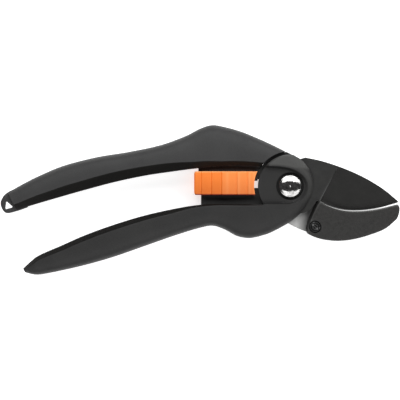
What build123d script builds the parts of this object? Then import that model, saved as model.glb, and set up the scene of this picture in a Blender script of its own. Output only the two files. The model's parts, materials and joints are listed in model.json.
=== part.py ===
from build123d import *
from math import atan2, cos, degrees, hypot, radians, sin
import os

# Anvil pruning shears, closed, lying on their back with the jaws towards +X.
#
# Two moulded handles cross at one pivot bolt. The lower handle's head is a fork of two cheeks that
# holds the blade. The upper handle holds a steel carrier, which passes between the cheeks and ends
# in the lower jaw, under a replaceable anvil shoe. A torsion spring round the pivot opens the
# handles, and a slider between them hooks the two handles' webs together.
#
# Everything is drawn about the pivot: X along the tool, Y across it, Z along the pivot axis, with
# Z = 0 at the middle of the tool's thickness. main() then moves the origin to the middle of the
# tool's footprint, on the surface it lies on.

# Overall sizes, in mm
TAIL_LENGTH = 102.3      # grips, from the rear of the lock bay to the hanging loop's end
BAY_REAR = 48.0          # pivot to the rear of the lock bay
JAW_LENGTH = 56.8        # pivot to the tip of the anvil
GRIP_CREST = 9.5         # half the thickness of the grips at their thickest
HEAD_FRONT = 8.5         # Z of the lower handle's head at the front
HEAD_BACK = -GRIP_CREST  # and at the back, level with the grips, so that the tool lies flat
HEAD_ROUNDING = 1.5

# Plates and washers across the head, from the front to the back
BLADE_THICKNESS = 2.5
INNER_GAP = 0.5          # between the blade and the carrier, filled by the inner thrust washer
CARRIER_THICKNESS = 3.0
REAR_GAP = 0.5           # between the carrier and the back cheek
THRUST_SLACK = 0.1       # what a thrust washer is thinner than its gap
BLADE_BACK = 0.25        # Z of the blade's back face

# Pivot
BOLT_RADIUS = 3.0
BUSH_WALL = 1.2
RUNNING_CLEARANCE = 0.05
BOLT_HEAD_RADIUS = 5.75
BOLT_HEAD_RIM = 0.7
BOLT_HEAD_DOME = 1.5
BOLT_GROOVE_INNER = 5.3  # a groove in the flat, round the bolt's head
BOLT_GROOVE_OUTER = 6.9
BOLT_GROOVE_DEPTH = 1.0
HEAD_WASHER_RADIUS = 5.0
HEAD_WASHER_THICKNESS = 0.5
FRONT_RECESS = 2.6       # depth of the flat round the bolt's head
BACK_CHEEK = 2.05        # what is left of the back cheek under the nut
REAR_RECESS_RADIUS = 6.7
NUT_ACROSS_FLATS = 10.0
NUT_HEIGHT = 2.6
LOCK_WASHER_RADIUS = 5.2
LOCK_WASHER_THICKNESS = 0.6
THRUST_WASHER_RADIUS = 7.0

# Head and the cavity it turns in
DISC_RADIUS = 16.4       # round the head's left side
CAVITY_RADIUS = 18.1     # the upper handle's concave end
SHELF_RADIUS = 17.0      # a shelf on the end of the upper web, behind the blade's heel
SHELF_GAP = 0.35         # along Z, between that shelf and the blade
HEEL_RADIUS = 17.85      # the blade's heel, seen between the two
HEEL_END_DEG = 168.0     # where the heel stops, about the pivot
NECK_RADIUS = 15.8       # the blade's lower right corner, clear of the anvil as it turns
BOSS_RADIUS = 14.0       # the carrier round the pivot
SLOT_CLEARANCE = 0.4     # round the carrier as it sweeps through the head
OPENING_DEG = 26.0
SLOT_MARGIN_DEG = 4.5    # the same, past each end of the carrier's swing
SLOT_REACH = 30.0        # past the head's outside

# Return spring
WIRE_RADIUS = 0.6
COIL_RADIUS = 8.8
COIL_TURNS = 1.75
COIL_PITCH = 1.35
COIL_CLEARANCE = 0.35
SPRING_LEG = 9.0
WIRE_BEND = 1.0          # radius of the bend into the upper leg
SPRING_PIN_DEG = 115.0   # where the upper leg enters the carrier
SPRING_PIN_CLEARANCE = 0.15

# Lock bay: a web on each handle, and the slider over both
WEB_HALF = 1.8
BEAD_HALF = 3.0          # the thicker rim along the upper web and the hooks of the lower one
BEAD_HEIGHT = 1.9
UPPER_WEB_EDGE = 2.7     # Y of the upper web's free edge
LOWER_WEB_EDGE = -0.9    # Y of the lower web's free edge
UPPER_WEB_REAR = -47.5
LOWER_WEB_REAR = -46.1
HOOK_LENGTH = 3.5
HOOK_PITCH = 14.0
FIRST_HOOK_X = -22.8
HOOK_SLACK = 0.25        # along X, between a hook and a catch with the slider just free
SLIDER_REAR = -49.7
SLIDER_FRONT = -16.7
SLIDER_FRONT_RADIUS = 18.6   # its hollow front end, about the pivot
LIP_SETBACK = 3.0        # of its inner lips, from its front end
SLIDER_TOP = 7.7
SLIDER_BOTTOM = -4.6
SLIDER_SKIN = 2.5        # cheek thickness at its ends
SLIDER_RIDGE = 1.6       # how far the thumb ridge stands above the ends
SLIDER_RIDGE_X = -35.2
SLIDE_CLEARANCE = 0.3
LOCK_TRAVEL = 1.8        # forwards, to hook the handles together
RELEASE_TRAVEL = 6.0     # backwards, clear of the hooks
STOP_TAB_X = -31.5
STOP_TAB_LENGTH = 3.0
CORE_REAR = -47.2
CORE_FRONT = -19.8
RIB_COUNT = 3
RIB_PITCH = 4.6
RIB_RADIUS = 0.45
LOCK_SCREW_RADIUS = 0.8
LOCK_SCREW_HEAD_RADIUS = 1.7
LOCK_SCREW_HEAD_HEIGHT = 1.2
DETENT_X = -30.0
DETENT_LENGTH = 8.0
DETENT_WIDTH = 1.6
DETENT_STRIP = 0.35

# Lower jaw
SHOE_FRONT = 5.6         # Z of the anvil shoe's front face
SHOE_BACK = -5.1
EDGE_GAP_HEEL = 0.35     # blade's edge to the anvil, near the pivot
EDGE_GAP_TIP = 0.9       # the same at the tips
SHOE_SCREW = (13.0, -21.1)
SHOE_SCREW_RADIUS = 1.75
SHOE_SCREW_HEAD_RADIUS = 2.7
SHOE_SCREW_HEAD_HEIGHT = 1.5
SHOE_COUNTERBORE_RADIUS = 3.15
SHOE_COUNTERBORE_DEPTH = 1.9
SHOE_NUT_ACROSS_FLATS = 6.0
SHOE_NUT_HEIGHT = 1.6
FIT_CLEARANCE = 0.05
DRIVE_SIZE = 0.95        # the screw's six-lobe socket, lobe radius from its centre

# Hanging loop
LOOP_HALF = 3.0
LOOP_WALL = 1.7

# Worked-out levels
BLADE_FRONT = BLADE_BACK + BLADE_THICKNESS
CARRIER_FRONT = BLADE_BACK - INNER_GAP
CARRIER_BACK = CARRIER_FRONT - CARRIER_THICKNESS
REAR_CHEEK = CARRIER_BACK - REAR_GAP
FRONT_FLAT = HEAD_FRONT - FRONT_RECESS
REAR_FLAT = REAR_CHEEK - BACK_CHEEK
BUSH_RADIUS = BOLT_RADIUS + RUNNING_CLEARANCE + BUSH_WALL
CHEEK_INNER = BEAD_HALF + SLIDE_CLEARANCE   # the slider's inner faces, each side of Z = 0
LIP_INNER = WEB_HALF + SLIDE_CLEARANCE


def tail(share, y):
    """A point on a grip, at a share of the tail's length behind the lock bay."""
    return (-BAY_REAR - share * TAIL_LENGTH, y)


def jaw(share, y):
    """A point on a jaw, at a share of the jaw's length from the pivot."""
    return (share * JAW_LENGTH, y)


def polar(radius, angle):
    return (radius * cos(radians(angle)), radius * sin(radians(angle)))


def slab(outline, low, high):
    """A closed outline, raised from one Z to another."""
    return Pos(0, 0, low) * extrude(make_face(outline), high - low)


def rod(radius, low, high, at=(0, 0)):
    return Pos(at[0], at[1], (low + high) / 2) * Cylinder(radius, high - low)


def tube(inner, outer, low, high):
    return rod(outer, low, high) - rod(inner, low - 1, high + 1)


def block(x, y, z):
    """A box from three pairs of limits."""
    centre = [(a + b) / 2 for a, b in (x, y, z)]
    return Pos(*centre) * Box(x[1] - x[0], y[1] - y[0], z[1] - z[0])


def hexagon(across_flats, low, high, at=(0, 0)):
    outline = RegularPolygon(across_flats / 2, 6, major_radius=False)
    return Pos(at[0], at[1], low) * extrude(outline, high - low)


# Grips. Each has an inner and an outer edge, and a profile of rows
# (share of the length, bevel, lip, crest): the inner edge is flat over twice the lip, the bevel
# rises from it to the crest, and the back is rounded.

UPPER_INNER = [(-1.0, 7.6), (-13.0, 9.9), (-25.0, 10.7), (-37.0, 10.4), tail(0.0, 9.3),
               tail(0.12, 7.7), tail(0.27, 5.4), tail(0.43, 1.9), tail(0.59, -2.5),
               tail(0.72, -6.3), tail(0.83, -9.6), tail(0.915, -12.2)]
UPPER_OUTER = [(2.2, 15.8), (-8.9, 21.4), (-17.3, 25.2), (-25.6, 28.5), (-33.9, 30.9),
               (-40.4, 31.9), (-46.4, 30.0), tail(0.065, 25.9), tail(0.19, 21.3),
               tail(0.35, 17.8), tail(0.51, 15.1), tail(0.675, 10.8), tail(0.8, 5.6),
               tail(0.88, 1.5), tail(0.962, -3.2)]
UPPER_PROFILE = [(0.0, 1.4, 5.5, 7.4), (0.1, 1.6, 5.8, 8.1), (0.25, 2.0, 5.2, 8.6),
                 (0.33, 3.2, 5.0, 8.8), (0.45, 4.6, 4.8, 9.3), (0.65, 5.0, 4.6, GRIP_CREST),
                 (0.8, 4.8, 4.4, 8.9), (0.9, 4.2, 3.9, 7.8), (1.0, 3.0, 3.3, 6.2)]
LOWER_INNER = [(-3.0, -9.3), (-19.0, -9.5), (-30.0, -9.3), (-39.0, -9.2), tail(0.0, -9.8),
               tail(0.115, -11.7), tail(0.265, -15.1), tail(0.41, -19.5), tail(0.56, -25.0),
               tail(0.69, -30.8), tail(0.8, -35.7), tail(0.845, -39.0), tail(0.885, -42.7)]
LOWER_OUTER = [(-4.8, -21.5), (-13.1, -25.2), (-21.4, -27.0), (-27.5, -25.9), (-33.9, -22.5),
               (-39.9, -20.6), (-46.4, -21.6), tail(0.107, -25.4), tail(0.27, -31.2),
               tail(0.43, -36.9), tail(0.594, -41.6), tail(0.757, -45.2), tail(0.82, -46.0),
               tail(0.873, -44.9)]
LOWER_PROFILE = [(0.0, 0.5, 7.4, 8.1), (0.25, 0.6, 7.6, 8.4), (0.33, 1.0, 7.0, 8.7),
                 (0.45, 2.2, 6.2, 9.3), (0.6, 2.6, 5.8, GRIP_CREST), (0.75, 2.7, 5.4, 9.1),
                 (0.88, 2.5, 4.8, 7.9), (0.95, 2.0, 4.0, 6.2), (1.0, 0.8, 2.8, 3.8)]
GRIP_SECTIONS = 22
CROWN_REACH = 0.88       # how far the crest runs flat towards the back, as a share
BACK_REACH = 0.7         # how far the back runs straight towards the crest, as a share


def between(rows, share):
    """A profile's values at a share of the length."""
    for first, last in zip(rows, rows[1:]):
        if share <= last[0]:
            part = (share - first[0]) / (last[0] - first[0])
            return [a + part * (b - a) for a, b in zip(first[1:], last[1:])]
    return rows[-1][1:]


def grip_section(inner, outer, bevel, lip, crest):
    """One cross-section of a grip, standing on the line from its inner to its outer edge."""
    width = (outer - inner).length
    across = (outer - inner).normalized()
    plane = Plane(origin=inner, x_dir=across, z_dir=across.cross(Vector(0, 0, 1)))
    crown = bevel + CROWN_REACH * (width - bevel)
    back = BACK_REACH * crest
    outline = [
        Line((0, -lip), (0, lip)),
        Line((0, lip), (bevel, crest)),
        Bezier((bevel, crest), (crown, crest), (width, back), (width, 0)),
        Bezier((width, 0), (width, -back), (crown, -crest), (bevel, -crest)),
        Line((bevel, -crest), (0, -lip)),
    ]
    return plane * make_face(outline)


def grip(inner_points, outer_points, profile):
    """A grip, lofted through sections that stand between its two edges."""
    inner, outer = Spline(*inner_points), Spline(*outer_points)
    sections = []
    for count in range(GRIP_SECTIONS + 1):
        share = count / GRIP_SECTIONS
        values = between(profile, share)
        sections.append(grip_section(inner @ share, outer @ share, *values))
    return loft(sections)


# Jaw outlines

EDGE = [jaw(0.252, -7.2), jaw(0.350, -10.2), jaw(0.460, -12.0), jaw(0.560, -12.6),
        jaw(0.690, -12.3), jaw(0.830, -11.0), jaw(0.985, -8.6)]
SPINE = [(8.0, 14.9), jaw(0.282, 13.2), jaw(0.428, 10.6), jaw(0.576, 7.3), jaw(0.722, 3.2),
         jaw(0.868, -2.1), jaw(0.992, -7.9)]
NOSE_SLOPE_START = (5.4, 14.1)     # where the head's sloping top meets the blade's spine
NOSE_SLOPE_END = (-1.2, 17.55)


def anvil_line():
    """The anvil's working line: the blade's edge, lowered by a gap that grows to the tip."""
    first, last = EDGE[0][0], EDGE[-1][0]
    points = []
    for x, y in EDGE:
        share = (x - first) / (last - first)
        points.append((x, y - EDGE_GAP_HEEL - share * (EDGE_GAP_TIP - EDGE_GAP_HEEL)))
    return points


def blade_outline():
    tang_top, tang_low = -11.3, -17.5
    tang_rear, tang_root = -42.0, -8.0
    heel_start_deg = degrees(atan2(NOSE_SLOPE_END[1], NOSE_SLOPE_END[0]))
    heel_end = polar(HEEL_RADIUS, HEEL_END_DEG)
    arc_mid = polar(HEEL_RADIUS, (HEEL_END_DEG + heel_start_deg) / 2)
    neck = polar(11.0, 165)
    neck_low, neck_high = polar(NECK_RADIUS, -62), polar(NECK_RADIUS, -28.5)
    return [
        Spline(*EDGE),
        Line(EDGE[-1], SPINE[-1]),
        Spline(*reversed(SPINE)),
        Line(SPINE[0], NOSE_SLOPE_START),
        Line(NOSE_SLOPE_START, NOSE_SLOPE_END),
        ThreePointArc(NOSE_SLOPE_END, arc_mid, heel_end),
        Line(heel_end, neck),
        Line(neck, (tang_root - 5, tang_top)),
        Line((tang_root - 5, tang_top), (tang_rear, tang_top - 1.5)),
        Line((tang_rear, tang_top - 1.5), (tang_rear, tang_low)),
        Line((tang_rear, tang_low), (tang_root, tang_low)),
        Line((tang_root, tang_low), (2.0, -14.5)),
        Line((2.0, -14.5), neck_low),
        ThreePointArc(neck_low, polar(NECK_RADIUS, -45), neck_high),
        Line(neck_high, EDGE[0]),
    ]


CARRIER_SHOULDER = [(-6.3, -15.4), (-1.9, -18.7), (3.8, -21.7), (8.4, -23.5)]
TANG_DEG = (80, 140)     # where the carrier's tang leaves the round part, about the pivot


def carrier_outline():
    """The carrier: a tang in the upper handle, a boss round the pivot, and the jaw's core."""
    boss_top = polar(BOSS_RADIUS, TANG_DEG[0])
    boss_left = polar(BOSS_RADIUS, TANG_DEG[1])
    boss_low = polar(BOSS_RADIUS, -140)
    boss_right = polar(BOSS_RADIUS, -24)
    core_top = [(x, y - 2.6) for x, y in anvil_line()[1:-1]]
    jaw_low = [jaw(0.34, -25.3), jaw(0.50, -25.6), jaw(0.66, -24.2), jaw(0.80, -21.2),
               jaw(0.90, -17.2)]
    return [
        ThreePointArc(boss_left, polar(BOSS_RADIUS, 180), boss_low),
        Spline(boss_low, *CARRIER_SHOULDER, *jaw_low),
        Line(jaw_low[-1], core_top[-1]),
        Spline(*reversed(core_top)),
        Spline(core_top[0], (15.4, -9.6), boss_right),
        ThreePointArc(boss_right, polar(BOSS_RADIUS, 36), boss_top),
        Line(boss_top, (-0.6, 16.9)),
        Spline((-0.6, 16.9), (-12.0, 20.9), (-26.0, 22.8), (-44.0, 19.5), (-57.0, 16.8)),
        ThreePointArc((-57.0, 16.8), (-59.2, 14.2), (-57.4, 11.8)),
        Spline((-57.4, 11.8), (-40.0, 13.6), (-20.0, 13.6), (-14.4, 12.2)),
        Line((-14.4, 12.2), boss_left),
    ]


def shoe_outline():
    top = anvil_line()
    apex, tip = top[0], top[-1]
    tip_low = jaw(0.975, -17.1)
    left_low = (8.3, -22.2)
    return [
        Spline(*top),
        Spline(tip, jaw(1.0, -12.6), tip_low, tangents=[(0.9, -0.35), (-0.5, -0.9)]),
        Spline(tip_low, jaw(0.868, -22.1), jaw(0.722, -25.4), jaw(0.576, -27.6),
               jaw(0.428, -28.4), jaw(0.282, -27.4), (10.2, -25.2), left_low,
               tangents=[(-0.5, -0.9), (0.0, 1.0)]),
        Spline(left_low, (9.7, -16.9), (12.7, -10.2), apex),
    ]


def head_outline():
    """The lower handle's head: round at the left, sloped at the top, fuller below the pivot."""
    arc_start, arc_end = (1.0, 16.37), polar(DISC_RADIUS, 212)
    right = [NOSE_SLOPE_START, (10.4, 8.6), (12.5, 1.0), (11.6, -5.4), (8.0, -11.5),
             (3.4, -16.6), (-3.0, -20.4), (-7.0, -22.5)]
    inside = (-13.0, -13.0)
    return [
        Spline(*right),
        Line(right[-1], inside),
        Line(inside, arc_end),
        ThreePointArc(arc_end, polar(DISC_RADIUS, 150), arc_start),
        Line(arc_start, right[0]),
    ]


def recess_outline():
    """The flat round the bolt's head: open to the left, round at the right."""
    return [
        Line((-20.0, -9.3), (0.6, -9.3)),
        ThreePointArc((0.6, -9.3), (9.3, -0.6), (5.1, 6.6)),
        Spline((5.1, 6.6), (-2.0, 8.9), (-12.5, 10.4)),
        Line((-12.5, 10.4), (-20.0, 10.4)),
        Line((-20.0, 10.4), (-20.0, -9.3)),
    ]


def carrier_plate(grow=0.0):
    plate = slab(carrier_outline(), CARRIER_BACK - grow, CARRIER_FRONT + grow)
    return plate - rod(BUSH_RADIUS + RUNNING_CLEARANCE, CARRIER_BACK - 1, CARRIER_FRONT + 1)


def carrier_slot():
    """The room the carrier needs in the head, from closed to fully open."""
    radius = BOSS_RADIUS + SLOT_CLEARANCE
    first, last = TANG_DEG[1] + SLOT_MARGIN_DEG, TANG_DEG[0] - OPENING_DEG - SLOT_MARGIN_DEG
    swept = []
    for x, y in CARRIER_SHOULDER:
        angle = degrees(atan2(y, x)) - OPENING_DEG - SLOT_MARGIN_DEG
        swept.append(polar(hypot(x, y), angle))
    foot = polar(radius, -140 - OPENING_DEG - SLOT_MARGIN_DEG)
    path = [polar(radius, first), polar(SLOT_REACH, first), polar(SLOT_REACH, last),
            (SLOT_REACH, 0), (SLOT_REACH, -SLOT_REACH), *reversed(swept), foot]
    outline = [Line(a, b) for a, b in zip(path, path[1:])]
    outline.append(ThreePointArc(foot, polar(radius, 170), path[0]))
    return slab(outline, REAR_CHEEK, BLADE_BACK)


def coil_depth():
    return COIL_TURNS * COIL_PITCH + 2 * WIRE_RADIUS + 2 * COIL_CLEARANCE


def coil_top():
    """Z of the wire's middle where the coil starts, just under the carrier."""
    return REAR_CHEEK - COIL_CLEARANCE - WIRE_RADIUS


def coil_end_angle():
    return SPRING_PIN_DEG - 360 * COIL_TURNS


def spring_leg_end():
    """Where the lower leg ends: straight on from the coil's last turn."""
    start = polar(COIL_RADIUS, coil_end_angle())
    along = polar(SPRING_LEG, coil_end_angle() - 90)
    return (start[0] + along[0], start[1] + along[1])


def spring_pin_at():
    """Where the upper leg stands, one bend on from the coil's last turn."""
    turn = degrees(atan2(WIRE_BEND, COIL_RADIUS))
    return polar(hypot(WIRE_BEND, COIL_RADIUS), SPRING_PIN_DEG + turn)


def return_spring():
    """One wire: a straight leg in the back cheek, the coil, and a leg up into the carrier."""
    rise = COIL_TURNS * COIL_PITCH
    coil = Helix(COIL_PITCH, rise, COIL_RADIUS)
    leg = Line(coil @ 0 - (coil % 0) * SPRING_LEG, coil @ 0)
    up = Vector(0, 0, WIRE_BEND)
    bend = TangentArc(coil @ 1, coil @ 1 + (coil % 1) * WIRE_BEND + up, tangent=coil % 1)
    foot = coil_top() - rise
    pin = Line(bend @ 1, bend @ 1 + up * ((CARRIER_FRONT - 1 - coil_top()) / WIRE_BEND - 1))
    path = Wire([*leg.edges(), *coil.edges(), *bend.edges(), *pin.edges()])
    wire = sweep(Plane(origin=leg @ 0, z_dir=leg % 0) * Circle(WIRE_RADIUS), path=path)
    return Pos(0, 0, foot) * Rot(0, 0, coil_end_angle()) * wire


def spring_pocket():
    """The annular pocket in the back cheek, with a slot for the lower leg."""
    room = WIRE_RADIUS + COIL_CLEARANCE
    floor = REAR_CHEEK - coil_depth()
    ring = tube(COIL_RADIUS - room, COIL_RADIUS + room, floor, REAR_CHEEK + 0.1)
    start, end = polar(COIL_RADIUS, coil_end_angle()), spring_leg_end()
    angle = degrees(atan2(end[1] - start[1], end[0] - start[0]))
    length = SPRING_LEG + room
    slot = Box(length, 2 * room, REAR_CHEEK + 0.1 - floor,
               align=(Align.MIN, Align.CENTER, Align.MIN))
    return ring + Pos(*start, floor) * Rot(0, 0, angle) * slot


# Lock bay

def hooks():
    """X limits of the lower web's hooks, the first nearest the pivot."""
    middles = (FIRST_HOOK_X, FIRST_HOOK_X - HOOK_PITCH)
    return [(x - HOOK_LENGTH / 2, x + HOOK_LENGTH / 2) for x in middles]


def catches():
    """X limits of the slider's catches at rest, each just behind a hook."""
    shift = HOOK_LENGTH + HOOK_SLACK
    return [(low - shift, high - shift) for low, high in hooks()]


def upper_web():
    web = block((UPPER_WEB_REAR, -14.0), (UPPER_WEB_EDGE, 13.0), (-WEB_HALF, WEB_HALF))
    web += block((UPPER_WEB_REAR, -14.0), (UPPER_WEB_EDGE, UPPER_WEB_EDGE + BEAD_HEIGHT),
                 (-BEAD_HALF, BEAD_HALF))
    tab = block((STOP_TAB_X - STOP_TAB_LENGTH / 2, STOP_TAB_X + STOP_TAB_LENGTH / 2),
                (LOWER_WEB_EDGE + 1.0, UPPER_WEB_EDGE + 0.5), (-WEB_HALF, WEB_HALF))
    y = sum(detent_y()) / 2
    for travel in (LOCK_TRAVEL, -RELEASE_TRAVEL):
        web -= Pos(DETENT_X + travel, y, -WEB_HALF - 0.3) * Rot(90, 0, 0) * Cylinder(0.7, 3)
    return web + tab


def lower_web():
    web = block((LOWER_WEB_REAR, -13.0), (-14.0, LOWER_WEB_EDGE), (-WEB_HALF, WEB_HALF))
    for limits in hooks():
        web += block(limits, (LOWER_WEB_EDGE - BEAD_HEIGHT, LOWER_WEB_EDGE),
                     (-BEAD_HALF, BEAD_HALF))
    return web


def slider_face():
    """The front cheek, outside its flat inner face: a thumb ridge with grooves each side of it.

    The back cheek is its mirror image."""
    ridge = CHEEK_INNER + SLIDER_SKIN + SLIDER_RIDGE
    ends = CHEEK_INNER + SLIDER_SKIN
    profile = Polyline((SLIDER_REAR, CHEEK_INNER), (SLIDER_REAR, ends),
                       (SLIDER_RIDGE_X, ridge), (SLIDER_FRONT, ends),
                       (SLIDER_FRONT, CHEEK_INNER), close=True)
    side = Plane.XZ * make_face(profile)
    face = Pos(0, SLIDER_TOP, 0) * extrude(side, SLIDER_TOP - SLIDER_BOTTOM)
    for count in range(RIB_COUNT):
        for direction in (-1, 1):
            along = (count + 0.5) * RIB_PITCH
            drop = SLIDER_RIDGE * along / abs(SLIDER_RIDGE_X - SLIDER_REAR)
            groove = Rot(90, 0, 0) * Cylinder(RIB_RADIUS, 30)
            face -= Pos(SLIDER_RIDGE_X + direction * along, 0, ridge - drop) * groove
    return face


def slider_lips(side):
    """The slider's inner lips on one side: one behind the upper web's bead, catches below."""
    near, far = sorted((side * LIP_INNER, side * CHEEK_INNER))
    lip_low = UPPER_WEB_EDGE + BEAD_HEIGHT + SLIDE_CLEARANCE
    lips = block((SLIDER_REAR + 1, SLIDER_FRONT - LIP_SETBACK), (lip_low, SLIDER_TOP),
                 (near, far))
    catch_top = LOWER_WEB_EDGE - BEAD_HEIGHT - SLIDE_CLEARANCE
    for limits in catches():
        lips += block(limits, (SLIDER_BOTTOM, catch_top), (near, far))
    return lips


def slider_cores():
    """X limits of the two bridges between the slider's cheeks, each side of the stop tab."""
    tab_rear = STOP_TAB_X - STOP_TAB_LENGTH / 2
    tab_front = STOP_TAB_X + STOP_TAB_LENGTH / 2
    return [(CORE_REAR, tab_rear - LOCK_TRAVEL - SLIDE_CLEARANCE),
            (tab_front + RELEASE_TRAVEL + SLIDE_CLEARANCE, CORE_FRONT)]


def core_y():
    return (LOWER_WEB_EDGE + SLIDE_CLEARANCE, UPPER_WEB_EDGE - SLIDE_CLEARANCE)


def lock_screw_points():
    middle = sum(core_y()) / 2
    return [(sum(limits) / 2, middle) for limits in slider_cores()]


def lock_slider():
    body = slider_face() + slider_lips(1)
    for limits in slider_cores():
        body += block(limits, core_y(), (-CHEEK_INNER, CHEEK_INNER))
    for at in lock_screw_points():
        body -= rod(LOCK_SCREW_RADIUS, -CHEEK_INNER - 1, CHEEK_INNER, at)
    return body - rod(SLIDER_FRONT_RADIUS, -20, 20)


def lock_slider_back():
    outer = -CHEEK_INNER - SLIDER_SKIN
    body = mirror(slider_face(), about=Plane.XY) + slider_lips(-1)
    body -= detent_window()
    for at in lock_screw_points():
        body -= rod(LOCK_SCREW_RADIUS + FIT_CLEARANCE, outer - 1, -CHEEK_INNER + 1, at)
        body -= rod(LOCK_SCREW_HEAD_RADIUS + FIT_CLEARANCE, outer - 5,
                    outer + LOCK_SCREW_HEAD_HEIGHT, at)
    return body - rod(SLIDER_FRONT_RADIUS, -20, 20)


def lock_screws():
    outer = -CHEEK_INNER - SLIDER_SKIN
    screws = []
    for at in lock_screw_points():
        screw = rod(LOCK_SCREW_HEAD_RADIUS, outer, outer + LOCK_SCREW_HEAD_HEIGHT, at)
        screw += rod(LOCK_SCREW_RADIUS, outer, CHEEK_INNER, at)
        slot = block((at[0] - 1.2, at[0] + 1.2), (at[1] - 0.2, at[1] + 0.2),
                     (outer - 1, outer + 0.5))
        cross = block((at[0] - 0.2, at[0] + 0.2), (at[1] - 1.2, at[1] + 1.2),
                      (outer - 1, outer + 0.5))
        screws.append(screw - slot - cross)
    return screws


def detent_y():
    """The detent strip's Y limits, in the middle of the upper lip."""
    lip_low = UPPER_WEB_EDGE + BEAD_HEIGHT + SLIDE_CLEARANCE
    middle = (lip_low + SLIDER_TOP) / 2
    return (middle - DETENT_WIDTH / 2, middle + DETENT_WIDTH / 2)


def detent_window():
    low, high = detent_y()
    half = DETENT_LENGTH / 2 + SLIDE_CLEARANCE
    return block((DETENT_X - half, DETENT_X + half), (low - FIT_CLEARANCE, high + FIT_CLEARANCE),
                 (-CHEEK_INNER, 0))


def lock_detent_spring():
    """A flat strip that lies in the back cheek and presses a bump on the upper web."""
    low, high = detent_y()
    half = DETENT_LENGTH / 2
    strip = block((DETENT_X - half, DETENT_X + half), (low, high),
                  (-CHEEK_INNER, -CHEEK_INNER + DETENT_STRIP))
    reach = CHEEK_INNER - WEB_HALF - FIT_CLEARANCE
    arch = Pos(DETENT_X, (low + high) / 2, -CHEEK_INNER) * Rot(90, 0, 0) * (
        Cylinder(reach, DETENT_WIDTH) - Cylinder(reach - DETENT_STRIP, DETENT_WIDTH + 1))
    arch -= block((-60, 0), (0, 12), (-9, -CHEEK_INNER))
    strip -= block((DETENT_X - reach + DETENT_STRIP, DETENT_X + reach - DETENT_STRIP),
                   (low - 1, high + 1), (-9, 9))
    return strip + arch


# The two handles

def upper_handle():
    body = grip(UPPER_INNER, UPPER_OUTER, UPPER_PROFILE)
    loop = [
        Spline(tail(0.890, 0.2), tail(0.965, -3.4), tail(0.996, -7.0), tail(0.998, -10.4),
               tail(0.970, -13.9), tail(0.915, -12.9), tail(0.860, -11.0)),
        Line(tail(0.860, -11.0), tail(0.890, 0.2)),
    ]
    body += slab(loop, -LOOP_HALF, LOOP_HALF)
    body -= hanging_hole()
    body += upper_web()
    body -= rod(CAVITY_RADIUS, -20, 20)
    body += web_shelf()
    return body - carrier_plate()


def web_shelf():
    """Closes most of the slit between the upper web's end and the blade's heel, from behind."""
    ring = tube(SHELF_RADIUS, CAVITY_RADIUS + 0.5, -WEB_HALF, BLADE_BACK - SHELF_GAP)
    return ring & block((-CAVITY_RADIUS - 1, -14.0), (UPPER_WEB_EDGE, 11.0), (-9, 9))


def hanging_hole():
    corners = [tail(0.966, -7.6), tail(0.934, -10.6), tail(0.974, -11.8)]
    hole = fillet(make_face(Polyline(*corners, close=True)).vertices(), 0.5)
    return Pos(0, 0, -20) * extrude(hole, 40)


def lower_handle():
    head = slab(head_outline(), HEAD_BACK, HEAD_FRONT)
    rims = head.edges().group_by(Axis.Z)[0] + head.edges().group_by(Axis.Z)[-1]
    head = fillet(rims, HEAD_ROUNDING)
    body = grip(LOWER_INNER, LOWER_OUTER, LOWER_PROFILE) + head + lower_web()
    body -= slab(recess_outline(), FRONT_FLAT, 20)
    body -= tube(BOLT_GROOVE_INNER, BOLT_GROOVE_OUTER, FRONT_FLAT - BOLT_GROOVE_DEPTH, 20)
    body -= carrier_slot()
    body -= blade_blank()
    body -= rod(BOLT_RADIUS + RUNNING_CLEARANCE, -20, 20)
    body -= rod(REAR_RECESS_RADIUS, -20, REAR_FLAT)
    return body - spring_pocket()


# Plates of the jaws

def blade_blank():
    return slab(blade_outline(), BLADE_BACK, BLADE_FRONT)


def blade():
    """The blade: ground flat on both faces from its spine to its edge, in front of the step."""
    body = blade_blank() - rod(BUSH_RADIUS + FIT_CLEARANCE, -1, 5)
    step_low, step_high = (EDGE[0][0] + 0.4, EDGE[0][1] - 6), (26.0, 10.5)
    spine_line = Line(step_high, jaw(1.02, -5.0))
    reach = [spine_line, Line(jaw(1.02, -5.0), jaw(1.1, -20.0)),
             Line(jaw(1.1, -20.0), step_low), Line(step_low, step_high)]
    along = Vector(*(spine_line @ 1 - spine_line @ 0)).normalized()
    down = Vector(along.Y, -along.X, 0)
    depth = 0.5 * BLADE_THICKNESS - 0.12
    fall = 16.5
    for face, side in ((BLADE_FRONT, 1), (BLADE_BACK, -1)):
        tilted = (down * fall + Vector(0, 0, -side * depth)).normalized()
        plane = Plane(origin=(*step_high, face), x_dir=along, z_dir=along.cross(tilted))
        wedge = plane * Pos(25, 0, 0) * Box(120, 80, 10, align=(Align.CENTER, Align.CENTER,
                            Align.MIN if along.cross(tilted).Z * side > 0 else Align.MAX))
        body -= wedge & slab(reach, -10, 12)
    return body


def anvil_carrier():
    body = carrier_plate()
    body -= rod(SHOE_SCREW_RADIUS + FIT_CLEARANCE, -9, 9, SHOE_SCREW)
    return body - rod(WIRE_RADIUS + SPRING_PIN_CLEARANCE, -9, 9, spring_pin_at())


def anvil_shoe():
    body = slab(shoe_outline(), SHOE_BACK, SHOE_FRONT)
    rims = [e for e in body.edges() if abs(e.center().Z - SHOE_FRONT) < 0.01]
    body = chamfer(rims, 0.5)
    body -= carrier_plate(FIT_CLEARANCE)
    body -= rod(SHOE_SCREW_RADIUS + FIT_CLEARANCE, -9, 9, SHOE_SCREW)
    body -= rod(SHOE_COUNTERBORE_RADIUS, SHOE_FRONT - SHOE_COUNTERBORE_DEPTH, 9, SHOE_SCREW)
    return body - hexagon(SHOE_NUT_ACROSS_FLATS + 2 * FIT_CLEARANCE, -9,
                          CARRIER_BACK + FIT_CLEARANCE, SHOE_SCREW)


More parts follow.
